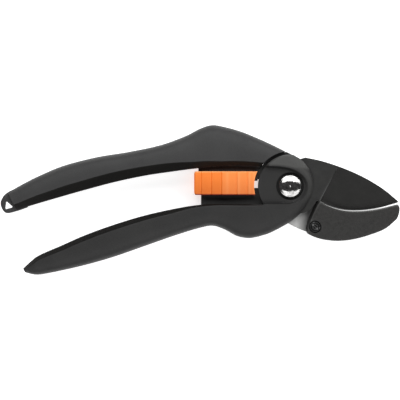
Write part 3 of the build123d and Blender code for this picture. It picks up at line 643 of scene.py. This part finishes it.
def gripPiece(name, rings, plastic):
    # the bevel's columns of faces, front and back, take the second material, the blacker one with
    # painted shade
    piece, size = ringLoft(name, rings), len(rings[0])
    piece.data.materials.append(plastic)
    piece.data.materials.append(gripBevelShaded)
    first, last = bevelColumns
    for face in piece.data.polygons:
        columns = [v % size for v in face.vertices]
        front = min(columns) >= first and max(columns) <= last
        behind = min(columns) >= size - last and max(columns) <= size - first
        face.material_index = int(front or behind)
    return piece


def upperHandle(spec):
    piece = gripPiece("upperHandle", gripRings(spec), gripPaintedLit)
    combine(piece, hangingLoop(loopSpec), "UNION")
    for part, edge in (("web", 0.25), ("bead", 0.5), ("stopTab", 0.25)):
        combine(piece, webPiece(part, spec[part], edge), "UNION")
    cutRound(piece, spec["cavity"], 160, -20.0, 20.0)
    low, high, inner, outer, back, front = spec["shelf"]
    turns = [low + (high - low) * n / 16 for n in range(17)]
    shelf = [polar(inner, a) for a in turns] + [polar(outer, a) for a in reversed(turns)]
    combine(piece, slabPiece("shelf", shelf, back, front), "UNION")
    shade(piece)
    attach(piece, "upper")
    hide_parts("upper_handle")


upperHandle(upperGrip)
print("upper handle made")


def disc(angle):
    # a point on the head's round left side
    return polar(16.4, angle)


lowerGrip = {
    # from the tail to the nose of the head, as pairs across the handle
    "inner": [(-138.5, -42.7), (-134.4, -39.0), (-129.8, -35.7), (-118.6, -30.8),
              (-105.3, -25.0), (-89.9, -19.5), (-75.1, -15.1), (-59.8, -11.7), (-48.0, -9.8),
              (-39.0, -9.2), (-30.0, -9.3), (-22.0, -9.4), (-13.6, -9.3)],
    "outer": [(-137.3, -44.9), (-131.9, -46.0), (-125.4, -45.2), (-108.8, -41.6),
              (-92.0, -36.9), (-75.6, -31.2), (-59.0, -25.4), (-46.4, -21.6), (-39.9, -20.6),
              (-33.9, -22.5), (-27.5, -25.9), (-21.4, -27.0), (-16.5, -26.3)],
    "rows": [(0.0, 0.8, 2.6, 3.6, 0.6, 0.6), (0.025, 1.6, 3.8, 5.6, 0.74, 0.6),
             (0.06, 2.1, 4.4, 6.6, 0.82, 0.62), (0.14, 2.5, 4.9, 8.0, 0.86, 0.66),
             (0.30, 2.7, 5.4, 9.1, 0.88, 0.7), (0.47, 2.6, 5.8, 9.47, 0.88, 0.7),
             (0.62, 2.2, 6.2, 9.3, 0.88, 0.7), (0.74, 1.0, 7.0, 8.7, 0.88, 0.7),
             (0.85, 0.7, 7.5, 8.5, 0.88, 0.7), (1.0, 0.6, 7.6, 8.5, 0.88, 0.7)],
    "rings": 230, "crown": 70,
    "web": (-46.1, -13.2, -13.0, -0.9, 1.8),
    "hooks": [(-24.55, -21.05), (-38.55, -35.05)],
}
lowerHead = {
    "pairs": [((-13.6, -9.3), (-16.5, -26.3)), (disc(200), (-11.0, -24.6)),
              (disc(183), (-5.6, -22.0)), (disc(166), (0.4, -18.5)),
              (disc(149), (5.2, -14.6)), (disc(131), (8.9, -10.2)), (disc(113), (11.3, -5.0)),
              (disc(98), (12.4, 0.6)), ((1.2, 16.3), (11.9, 5.6)), ((3.2, 15.3), (10.0, 9.2)),
              ((4.7, 14.5), (7.4, 12.2))],
    "rows": [(0.0, 0.6, 7.6, 8.5, 0.88, 0.7), (0.25, 0.7, 7.6, 8.5, 0.88, 0.76),
             (0.8, 0.9, 7.4, 8.5, 0.82, 0.74), (1.0, 0.9, 6.4, 7.6, 0.6, 0.7)],
    "rings": 150,
    "recessFloor": 5.9,
    "recess": [(-20.0, -9.3), (-10.0, -9.3), (-3.0, -9.3), (1.0, -9.2), (5.2, -7.7), (8.2, -4.3),
               (9.2, -0.3), (8.4, 3.3), (5.6, 6.5), (1.5, 8.8), (-4.0, 10.0), (-10.0, 10.4),
               (-20.0, 10.5)],
    # how soft the flat's rim is: below, above and at its right end
    "rimLow": 0.6, "rimTop": 1.3, "rimRight": 2.3,
    "grooveIn": 5.3, "grooveOut": 7.15, "grooveFloor": 4.9,
    # the boss over the spring at the back: radius, z, z and rounding
    "backBoss": (11.3, -9.44, -6.0, 0.8),
    "backPocket": 6.7, "backPocketFloor": -5.8, "slotLow": -3.75, "slotHigh": 0.25,
}


def recessPlug(spec, rings):
    # a soft-walled plug that sinks the flat round the bolt's head into the crown
    crown = np.array([(p[0], p[1], p[2]) for ring in rings for p in ring if p[2] > 3.0])
    outline = flatCurve(spec["recess"], 150)
    crests = []
    for x, y in outline:
        away = (crown[:, 0] - x) ** 2 + (crown[:, 1] - y) ** 2
        near = np.argsort(away)[:8]
        crests.append(np.average(crown[near, 2], weights=1 / (away[near] + 0.02)))
    count, low = len(outline), spec["recessFloor"]
    # the wall is a soft S without its first fifth, so it meets the crown at a clear angle
    begin, skipped, slope, over = 0.2, 0.104, 0.857, 0.4
    points = []
    for n, (x, y) in enumerate(outline):
        nearby = crests[max(0, n - 3):n + 4]
        crest = sum(nearby) / len(nearby)
        upper = min(1.0, max(0.0, (y + 2) / 4))
        straight = mix(spec["rimLow"], spec["rimTop"], upper)
        reach = mix(straight, spec["rimRight"], min(1.0, max(0.0, (x + 2) / 8)))
        steep = slope * (crest - low) / reach
        before, after = outline[max(0, n - 1)], outline[min(count - 1, n + 1)]
        run = Vector((after[0] - before[0], after[1] - before[1])).normalized()
        wall = [(-over, 20.0), (-over, crest + over * steep)]
        for t in (0.0, 0.15, 0.3, 0.45, 0.6, 0.75, 0.9, 1.0):
            fallen = (smooth(0.0, 1.0, mix(begin, 1.0, t)) - skipped) / (1 - skipped)
            wall.append((reach * t, mix(crest, low, fallen)))
        wall += [(reach + more, low) for more in (0.6, 1.5, 2.6)]
        points.append([(x - run.y * far, y + run.x * far, z) for far, z in wall])
    return ringLoft("recess", [list(row) for row in zip(*points)])


def headPaintedShading(piece, spec):
    # painted shade over the flat, in its soft corner and in the groove, and a painted highlight on
    # the rim and on the shoulder above the flat
    spots = pointsOf(piece)
    x, y, z = spots[:, 0], spots[:, 1], spots[:, 2]
    near = (x > -19) & (z > 3.0)
    outline = flatCurve(spec["recess"], 120)
    away = np.full(len(spots), 99.0)
    away[near] = rimDistance(spots[near][:, :2], outline)
    inside = np.zeros(len(spots), dtype=bool)
    inside[near] = isInside(spots[near][:, :2], outline)
    toRight = np.clip((x + 1) / 6, 0, 1)
    upper = np.clip((y - 2) / 4, 0, 1)
    cornerShade = np.exp(-((away - 0.9) / 1.15) ** 2) * np.maximum(toRight, 0.55 * upper)
    radius = np.hypot(x, y)
    groove = (radius > 5.1) & (radius < 7.3) & (z < 5.6)
    flatShade = np.maximum(np.maximum(0.75 * cornerShade, 0.2), groove)
    storeShare(piece, "paintedLightAndShade", np.where(near & inside, flatShade, 0))
    rim = np.exp(-((away - 1.9) / 1.4) ** 2) * np.clip((y + 9) / 5, 0, 1) * toRight * 0.5
    shoulderHighlight = np.clip(away / 1.2, 0, 1) * np.clip((x + 17) / 4, 0, 1) * np.clip((y - 8) / 2, 0, 1)
    storeShare(piece, "wearAndPaintedShading", np.where(near & ~inside, np.maximum(rim, shoulderHighlight), 0))


def slotOutline():
    # the room between the cheeks that the carrier turns in
    path = [polar(14.4, 144), polar(30, 144), polar(30, 50), (30, 0), (30, -30), (-3.5, -30),
            (-4.6, -24.8), (-7.9, -21.0), (-11.4, -15.4), (-13.6, -11.5), polar(14.4, -170)]
    return path + [polar(14.4, a) for a in range(-175, -215, -5)]


def lowerHandle(grip, head):
    rings = gripRings(grip)[:-1]
    inner = curveThrough([a for a, b in head["pairs"]], head["rings"])
    outer = curveThrough([b for a, b in head["pairs"]], head["rings"])
    for number, (a, b) in enumerate(zip(inner, outer)):
        row = fromRows(head["rows"], number / (head["rings"] - 1))
        rings.append(gripRing(a, b, row, grip["crown"]))
    piece = gripPiece("lowerHandle", rings, gripPlastic)
    radius, low, high, edge = head["backBoss"]
    boss = slabPiece("boss", ringOutline(radius, 120), low, high, edge, 4)
    combine(piece, boss, "UNION", "MANIFOLD")
    combine(piece, recessPlug(head, rings), "DIFFERENCE", "MANIFOLD")
    groove = slabPiece("groove", ringOutline(head["grooveOut"], 144), head["grooveFloor"], 20.0)
    cutRound(groove, head["grooveIn"], 144, 4.0, 21.0)
    combine(piece, groove, "DIFFERENCE", "MANIFOLD")
    combine(piece, webPiece("web", grip["web"], 0.25), "UNION")
    for low, high in grip["hooks"]:
        combine(piece, webPiece("hook", (low, high, -2.8, -0.9, 3.0), 0.3), "UNION")
    slot = slabPiece("slot", slotOutline(), head["slotLow"], head["slotHigh"])
    combine(piece, slot, "DIFFERENCE")
    cutRound(piece, head["backPocket"], 96, -20.0, head["backPocketFloor"])
    shade(piece)
    headPaintedShading(piece, head)
    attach(piece, "lower")
    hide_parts("lower_handle")


lowerHandle(lowerGrip, lowerHead)
print("lower handle made")


# Lock slider: a ribbed saddle over the two webs

sliderLook = {
    "low": -4.6, "high": 7.7, "inner": 3.3, "round": 0.7, "rearRound": 1.1,
    # x and height of the thumb ramp's ribs
    "top": [(-49.7, 5.7), (-46.4, 6.05), (-46.0, 5.75), (-45.6, 6.15), (-41.1, 6.6),
            (-40.7, 6.25), (-40.3, 6.7), (-36.1, 7.25), (-35.7, 6.95), (-35.1, 7.4),
            (-28.5, 7.05), (-27.8, 6.6), (-27.1, 6.95), (-22.9, 6.5), (-22.2, 6.05),
            (-21.5, 6.4), (-16.7, 5.8)],
    # the ridge and the bands on this line place the painted light on the forward slope
    "hollow": 18.6, "ridge": -35.4, "highlightBands": (-26.6, -21.0, -18.6, -32.5),
    # inner lips, catches and bridges, as (x, x, y, y, z, z)
    "frontBlocks": [(-48.7, -19.7, 4.9, 7.6, 2.1, 3.6), (-28.3, -24.8, -4.5, -3.1, 2.1, 3.6),
                    (-42.3, -38.8, -4.5, -3.1, 2.1, 3.6), (-47.2, -35.1, -0.6, 2.4, -3.3, 3.6),
                    (-23.7, -19.8, -0.6, 2.4, -3.3, 3.6)],
    "backBlocks": [(-48.7, -34.4, 4.9, 7.6, -3.6, -2.1), (-25.6, -19.7, 4.9, 7.6, -3.6, -2.1),
                   (-28.3, -24.8, -4.5, -3.1, -3.6, -2.1), (-42.3, -38.8, -4.5, -3.1, -3.6, -2.1)],
    "screwSeats": [(-41.15, 0.9), (-21.75, 0.9)], "seatRadius": 1.8, "seatFloor": -4.6,
}


def sliderCheek(name, spec, side):
    rear, steps = spec["top"][0][0], []
    for a, b in zip(spec["top"], spec["top"][1:]):
        many = 3 if b[0] - a[0] < 1 else 12
        steps += [(mix(a[0], b[0], n / many), mix(a[1], b[1], n / many)) for n in range(many)]
    steps.append(spec["top"][-1])
    rings = []
    for x, z in steps:
        near = min(1.0, (x - rear) / spec["rearRound"])      # the rear corners are round in plan
        pull = spec["rearRound"] * (1 - math.sqrt(max(0.0, 1 - (1 - near) ** 2)))
        low, high = spec["low"] + pull, spec["high"] - pull
        z -= 0.5 * (1 - near) ** 2
        inner = spec["inner"]
        across = [(low, inner)] + corner((low, inner), (low, z), (high, z), spec["round"], 5)
        across += corner((low, z), (high, z), (high, inner), spec["round"], 5) + [(high, inner)]
        rings.append([(x, p[0], p[1] * side) for p in across])
    piece = cappedLoft(name, rings)
    cutRound(piece, spec["hollow"], 160, -20.0, 20.0)
    return piece


def sliderPaintedShading(piece, spec):
    # painted shade along the lower rim, and the forward slope painted a little paler as painted
    # light, with painted highlight bands
    spots = pointsOf(piece)
    x, y = spots[:, 0], spots[:, 1]
    low = spec["low"]
    storeShare(piece, "wearAndPaintedShading", 1 - np.clip((y - low - 0.35) / 0.55, 0, 1))
    highlightBands = sum(np.exp(-((x - at) / 0.75) ** 2) for at in spec["highlightBands"])
    storeShare(piece, "paintedLightAndShade", np.clip((x - spec["ridge"]) / 0.8, 0, 1) * (0.45 + 0.55 * highlightBands))


def addBlocks(piece, blocks):
    for x0, x1, y0, y1, z0, z1 in blocks:
        combine(piece, slabPiece("block", boxOutline(x0, x1, y0, y1), z0, z1, 0.2), "UNION")


def finishPiece(piece, material, body, node):
    shade(piece)
    piece.data.materials.clear()
    piece.data.materials.append(material)
    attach(piece, body)
    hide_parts(node)


frontCheek = sliderCheek("lockSlider", sliderLook, 1)
addBlocks(frontCheek, sliderLook["frontBlocks"])
sliderPaintedShading(frontCheek, sliderLook)
finishPiece(frontCheek, orangePlastic, "lock", "lock_slider")

backCheek = sliderCheek("lockSliderBack", sliderLook, -1)
addBlocks(backCheek, sliderLook["backBlocks"])
for at in sliderLook["screwSeats"]:
    cutRound(backCheek, sliderLook["seatRadius"], 40, -20.0, sliderLook["seatFloor"], at)
sliderPaintedShading(backCheek, sliderLook)
finishPiece(backCheek, orangePlastic, "lock", "lock_slider_back")
print("lock slider made")


# Jaws

jawLines = {
    "edge": [(14.3, -7.2), (19.9, -10.2), (26.1, -12.0), (31.8, -12.6), (39.2, -12.3),
             (47.1, -11.0), (55.9, -8.6)],
    "spine": [(8.0, 14.9), (16.0, 13.2), (24.3, 10.6), (32.7, 7.3), (41.0, 3.2), (49.3, -2.1),
              (56.3, -7.9)],
    "gapHeel": 0.06, "gapTip": 0.85,
}
bladeSpec = {
    "front": 2.75, "back": 0.25, "heel": 17.9, "neck": 15.8,
    "stepLow": (15.2, -8.4), "stepHigh": (25.2, 10.9), "hingeEnd": (57.9, -5.0),
    "grind": 1.05, "over": 16.5, "wall": 0.22, "micro": 0.42, "microDrop": 0.3,
    "cell": 0.6, "rims": (0.1, 0.25, 0.42, 0.8), "bore": 4.3,
    "nose": [(5.4, 14.1), (-1.2, 17.55)], "heelTurn": (94, 168), "neckTurn": (-62, -27),
    "tang": [polar(11.0, 165), (-13.0, -11.3), (-42.0, -12.8), (-42.0, -17.5), (-8.0, -17.5),
             (2.0, -14.5)],
}


def sideOf(spots, first, last):
    # signed distance from a line, positive on its right
    dx, dy = last[0] - first[0], last[1] - first[1]
    return ((spots[:, 0] - first[0]) * dy - (spots[:, 1] - first[1]) * dx) / math.hypot(dx, dy)


def bladePiece(lines, spec):
    edge = flatCurve(lines["edge"], 70)
    spine = flatCurve(lines["spine"], 60)
    outline = edge + spine[::-1] + spec["nose"]
    outline += [polar(spec["heel"], mix(*spec["heelTurn"], n / 32)) for n in range(1, 33)]
    outline += spec["tang"]
    outline += [polar(spec["neck"], mix(*spec["neckTurn"], n / 20)) for n in range(20)]
    outline = evenly(outline, 0.6)

    def ground(spots):
        past = sideOf(spots, spec["stepLow"], spec["stepHigh"])
        below = sideOf(spots, spec["stepHigh"], spec["hingeEnd"])
        fall = np.clip(below, 0, None) * spec["grind"] / spec["over"]
        micro = chamferDrop(rimDistance(spots, edge, False), spec["micro"], spec["microDrop"])
        return np.clip(past / spec["wall"], 0, 1) * (fall + micro)

    def rubbedAndPaintedShading(spots):
        # bare steel along the edge, and a painted highlight along the step
        past = sideOf(spots, spec["stepLow"], spec["stepHigh"])
        along = np.clip((spots[:, 1] + 9.0) / 14.0, 0, 1)
        step = np.exp(-((past + 0.02) / 0.22) ** 2) * (1 - along) ** 0.5 * 0.55
        bare = np.clip(1.1 - rimDistance(spots, edge, False) / spec["micro"], 0, 1)
        return np.maximum(step, np.where(past > 0, bare, 0))

    run = Vector(spec["stepHigh"]) - Vector(spec["stepLow"])
    off = Vector((run.y, -run.x)).normalized() * spec["wall"]
    marks = []
    for shift in (Vector((0, 0)), off, off * -1.2):
        start, end = Vector(spec["stepLow"]) + shift, Vector(spec["stepHigh"]) + shift
        line = [tuple(start.lerp(end, 0.03 + 0.93 * n / 40)) for n in range(41)]
        marks.append((line, False))
    hinge = [tuple(Vector(spec["stepHigh"]).lerp(Vector(spec["hingeEnd"]), 0.02 + 0.9 * n / 60))
             for n in range(61)]
    inside = isInside(hinge, outline) & (rimDistance(hinge, outline) > 0.3)
    marks.append(([p for p, ok in zip(hinge, inside) if ok], False))
    piece = plateMesh("blade", outline,
                      lambda spots: spec["front"] - ground(spots),
                      lambda spots: spec["back"] + ground(spots),
                      spec["cell"], spec["rims"], marks)
    storeShare(piece, "wearAndPaintedShading", rubbedAndPaintedShading(pointsOf(piece)[:, :2]))
    cutRound(piece, spec["bore"], 64, -1.0, 5.0)
    finishPiece(piece, bladeCoating, "lower", "blade")
    piece.data.materials.append(bladeGround)
    middles = np.array([((pivot * -1 + face.center) * 1000)[:2] for face in piece.data.polygons])
    past = sideOf(middles, spec["stepLow"], spec["stepHigh"]) > spec["wall"]
    below = sideOf(middles, spec["stepHigh"], spec["hingeEnd"]) > 0
    for face, isGround in zip(piece.data.polygons, past & below):
        face.material_index = int(isGround)


bladePiece(jawLines, bladeSpec)

shoeSpec = {
    "front": 5.6, "back": -5.1, "screw": (13.0, -21.1), "bore": 3.15, "floor": 3.7,
    "nutFloor": -4.85,
    "tip": [(55.9, -9.5), (56.75, -10.8), (56.8, -12.8), (56.3, -15.0), (55.4, -17.1)],
    "under": [(55.4, -17.1), (49.3, -22.1), (41.0, -25.4), (32.7, -27.6), (24.3, -28.4),
              (16.0, -27.4), (10.2, -25.2), (8.6, -23.6), (8.3, -22.2)],
    "left": [(8.3, -22.2), (9.7, -16.9), (12.7, -10.2), (14.3, -7.55)],
    "cell": 0.7, "rims": (0.12, 0.3, 0.55, 0.9, 1.3),
}


def anvilLine(lines):
    first, last = lines["edge"][0][0], lines["edge"][-1][0]
    out = []
    for x, y in flatCurve(lines["edge"], 60):
        share = (x - first) / (last - first)
        out.append((x, y - mix(lines["gapHeel"], lines["gapTip"], share)))
    return out


def shoePiece(lines, spec):
    top = anvilLine(lines)
    tip, under = flatCurve(spec["tip"], 14), flatCurve(spec["under"], 70)
    left = flatCurve(spec["left"], 26)
    outline = evenly(top + tip[1:] + under[1:] + left[1:-1], 0.7)
    sx, sy = spec["screw"]
    bore = spec["bore"]
    rims = [[(sx + x, sy + y) for x, y in ringOutline(r, 72)] for r in (bore, bore - 0.07)]

    def sides(spots):
        return [rimDistance(spots, line, False) for line in (top, tip + under, left)]

    def front(spots):
        up, low, wall = sides(spots)
        drop = np.maximum(chamferDrop(up, 0.55, 0.55), roundDrop(low, 0.9, 0.8))
        drop = np.maximum(drop, chamferDrop(wall, 1.3, 5.2))
        z = spec["front"] - drop
        # a shallow rib line just inside the rim, from moulding
        z += 0.05 * np.exp(-((low - 1.25) / 0.2) ** 2)
        far = np.hypot(spots[:, 0] - sx, spots[:, 1] - sy)
        z = np.where(far < bore - 0.05, spec["floor"], z)
        return np.minimum(z, spec["front"])

    def back(spots):
        up, low, wall = sides(spots)
        drop = np.maximum(chamferDrop(up, 0.3, 0.3), roundDrop(low, 0.9, 0.8))
        far = np.hypot(spots[:, 0] - sx, spots[:, 1] - sy)
        z = spec["back"] + np.maximum(drop, roundDrop(wall, 0.4, 0.4))
        return np.where(far < bore - 0.05, spec["nutFloor"], z)

    def rubbedAndPaintedShading(spots):
        up, low, wall = sides(spots)
        wornAndGlint = np.clip((spots[:, 0] - 14.0) / 24.0, 0.25, 0.8)
        return wornAndGlint * np.clip(1.15 - up / 0.55, 0, 1)

    piece = plateMesh("anvilShoe", outline, front, back, spec["cell"], spec["rims"],
                      [(line, True) for line in rims])
    flat = pointsOf(piece)[:, :2]
    storeShare(piece, "wearAndPaintedShading", rubbedAndPaintedShading(flat))
    # painted shade in the counterbore and down the steep left wall
    inBore = np.clip(bore + 0.45 - np.hypot(flat[:, 0] - sx, flat[:, 1] - sy), 0, 1)
    wall = np.clip(1.25 - rimDistance(flat, left, False), 0, 1) * 0.8
    storeShare(piece, "paintedLightAndShade", np.maximum(np.clip(inBore * 2, 0, 1), wall))
    finishPiece(piece, anvilPlastic, "upper", "anvil_shoe")


shoePiece(jawLines, shoeSpec)

screwSpec = {"at": (13.0, -21.1), "radius": 2.7, "top": 5.2, "seat": 3.7, "lobe": 1.02,
             "wave": 0.2, "socket": 0.95, "bevel": 0.4, "shank": 1.75, "end": -4.85}


def screwPiece(spec):
    cx, cy = spec["at"]
    outline = ringOutline(spec["radius"], 72, spec["at"])

    def lobes(scale):
        out = []
        for angle in [360 * n / 96 for n in range(96)]:
            reach = (spec["lobe"] + spec["wave"] * math.cos(math.radians(6 * angle))) * scale
            x, y = polar(reach, angle)
            out.append((cx + x, cy + y))
        return out

    wall, foot = lobes(1.0), lobes(0.93)

    def front(spots):
        z = spec["top"] - roundDrop(rimDistance(spots, outline), spec["bevel"], 0.32)
        middle = isInside(spots, lobes(0.965))
        return np.where(middle, spec["top"] - spec["socket"], z)

    piece = plateMesh("anvilScrew", outline, front,
                      lambda spots: np.full(len(spots), spec["seat"]), 0.45,
                      (0.08, 0.2, 0.4), [(wall, True), (foot, True)])
    round40 = ringOutline(spec["shank"], 40, spec["at"])
    combine(piece, slabPiece("shank", round40, spec["end"], spec["seat"] + 0.2), "UNION")
    finishPiece(piece, blackScrew, "upper", "anvil_screw")


screwPiece(screwSpec)

boltSpec = {"radius": 5.75, "seat": 6.4, "rim": 7.1, "dome": 1.5, "shank": 3.0, "end": -9.0,
            "dimple": 0.4, "dimpleDepth": 0.12, "ripple": 0.05}


def boltPiece(spec):
    r, rim = spec["radius"], spec["rim"]
    profile = [(0.02, spec["end"]), (2.6, spec["end"]), (spec["shank"], spec["end"] + 0.35),
               (spec["shank"], spec["seat"]), (r - 0.12, spec["seat"]), (r, spec["seat"] + 0.12),
               (r, rim - 0.12)]
    for step in range(1, 46):
        share = 1 - (step / 45) ** 1.25
        lift = 1 - share ** 2.35
        radius = r * share
        z = rim + spec["dome"] * lift * (1 if share < 0.985 else 0.6)
        z -= spec["dimpleDepth"] * (1 - smooth(spec["dimple"] * 0.4, spec["dimple"], radius))
        profile.append((max(radius, 0.02), z - 0.03))
    rings = [[(*polar(radius, 3 * n), z) for n in range(120)] for radius, z in profile]
    piece = cappedLoft("pivotBolt", rings)
    for vertex in piece.data.vertices:
        local = (vertex.co - pivot) * 1000
        if local.z > rim + 0.15:
            swell = noise.noise(Vector((local.x * 0.42, local.y * 0.6, 7.3)))
            swell += 0.45 * noise.noise(Vector((local.x * 1.1, local.y * 1.3, 1.9)))
            vertex.co.z -= spec["ripple"] * (0.7 + 0.5 * swell) * 0.001
    finishPiece(piece, boltChrome, "lower", "pivot_bolt")


boltPiece(boltSpec)
print("jaws, screw and bolt made")


# CAD pieces whose shape stands get their finish, and a small rounding in millimetres on their edges

carriedFinish = {
    "anvil_carrier": (carrierSteel, 0.12), "anvil_nut": (zincSteel, 0.08),
    "pivot_head_washer": (zincSteel, 0.0), "pivot_bushing": (bushBrass, 0.0),
    "inner_thrust_washer": (bushBrass, 0.0), "rear_thrust_washer": (bushBrass, 0.0),
    "pivot_lock_washer": (zincSteel, 0.0), "pivot_nut": (zincSteel, 0.08),
    "return_spring": (zincSteel, 0.0), "lock_screws": (zincSteel, 0.05),
    "lock_detent_spring": (plateSteel, 0.0),
}


def dress(node, material, edge):
    piece = frame["nodes"][node]
    piece.data.materials.clear()
    piece.data.materials.append(material)
    if edge:
        rounding = piece.modifiers.new("edge", "BEVEL")
        rounding.width, rounding.segments = edge * 0.001, 2
        rounding.limit_method, rounding.angle_limit = "ANGLE", math.radians(35)
        rounding.use_clamp_overlap = True
        even = piece.modifiers.new("even", "WEIGHTED_NORMAL")
        even.keep_sharp, even.weight = True, 60


for node, (material, edge) in carriedFinish.items():
    dress(node, material, edge)
print("carried pieces dressed")


# Floor, light and camera

floorLook = {"side": 1.6, "cells": 24, "drop": 0.0002, "paper": 6.0, "glow": 0.64}


def paleFloor(spec):
    side, cells = spec["side"], spec["cells"]
    points = [(mix(-side, side, col / cells), mix(-side, side, row / cells), 0.0)
              for row in range(cells + 1) for col in range(cells + 1)]
    starts = [row * (cells + 1) + col for row in range(cells) for col in range(cells)]
    faces = [(a, a + 1, a + cells + 2, a + cells + 1) for a in starts]
    mesh = bpy.data.meshes.new("floor")
    mesh.from_pydata(points, [], faces)
    floor = linked("floor", mesh)
    floor.location.z = -spec["drop"]
    material, nodes, links, shader, where = nodesOf("paleFloor")
    paper = noiseAt(nodes, links, where, spec["paper"], 2.0)
    links.new(ramp(nodes, links, paper, [(0.2, (0.88, 0.88, 0.88)), (0.8, (0.9, 0.9, 0.9))]),
              shader.inputs["Base Color"])
    # a light table: the floor glows a little, so the tool's shadow stays pale
    fill(shader, {"Roughness": 0.9, "Specular IOR Level": 0.1,
                  "Emission Color": (1.0, 1.0, 1.0, 1.0), "Emission Strength": spec["glow"]})
    floor.data.materials.append(material)


# two soft panels, one each side of the tool, in metres and watts
studio = {
    "height": 0.8, "near": 0.36, "far": 1.15, "x": (-0.7, 1.7), "power": (16.0, 26.0),
    "air": (0.1, 0.1, 0.103), "airPower": 1.0,
}


def softPanels(spec):
    for side, power in zip((-1, 1), spec["power"]):
        light = bpy.data.lights.new("panel", "AREA")
        light.shape = "RECTANGLE"
        light.size = spec["x"][1] - spec["x"][0]
        light.size_y = spec["far"] - spec["near"]
        light.energy = power
        lamp = linked("panel", light)
        lamp.location = (sum(spec["x"]) / 2, side * (spec["near"] + spec["far"]) / 2,
                         spec["height"])
    world = bpy.data.worlds.new("studio")
    world.use_nodes = True
    fill(world.node_tree.nodes["Background"],
         {"Color": (*spec["air"], 1.0), "Strength": spec["airPower"]})
    scene.world = world
    scene.view_settings.view_transform = "Standard"


cameraView = {"distance": 1.4, "wide": 0.208, "middle": (-46.64, -7.18, 0.0), "sensor": 36.0}


def overheadCamera(spec):
    # straight down on the tool, from far off
    middle = place(spec["middle"])
    camera = bpy.data.cameras.new("camera")
    camera.sensor_width = spec["sensor"]
    camera.lens = spec["sensor"] * spec["distance"] / spec["wide"]
    camera.clip_end = 10.0
    eye = linked("camera", camera)
    eye.location = (middle.x, middle.y, middle.z + spec["distance"])
    scene.camera = eye


paleFloor(floorLook)
softPanels(studio)
overheadCamera(cameraView)
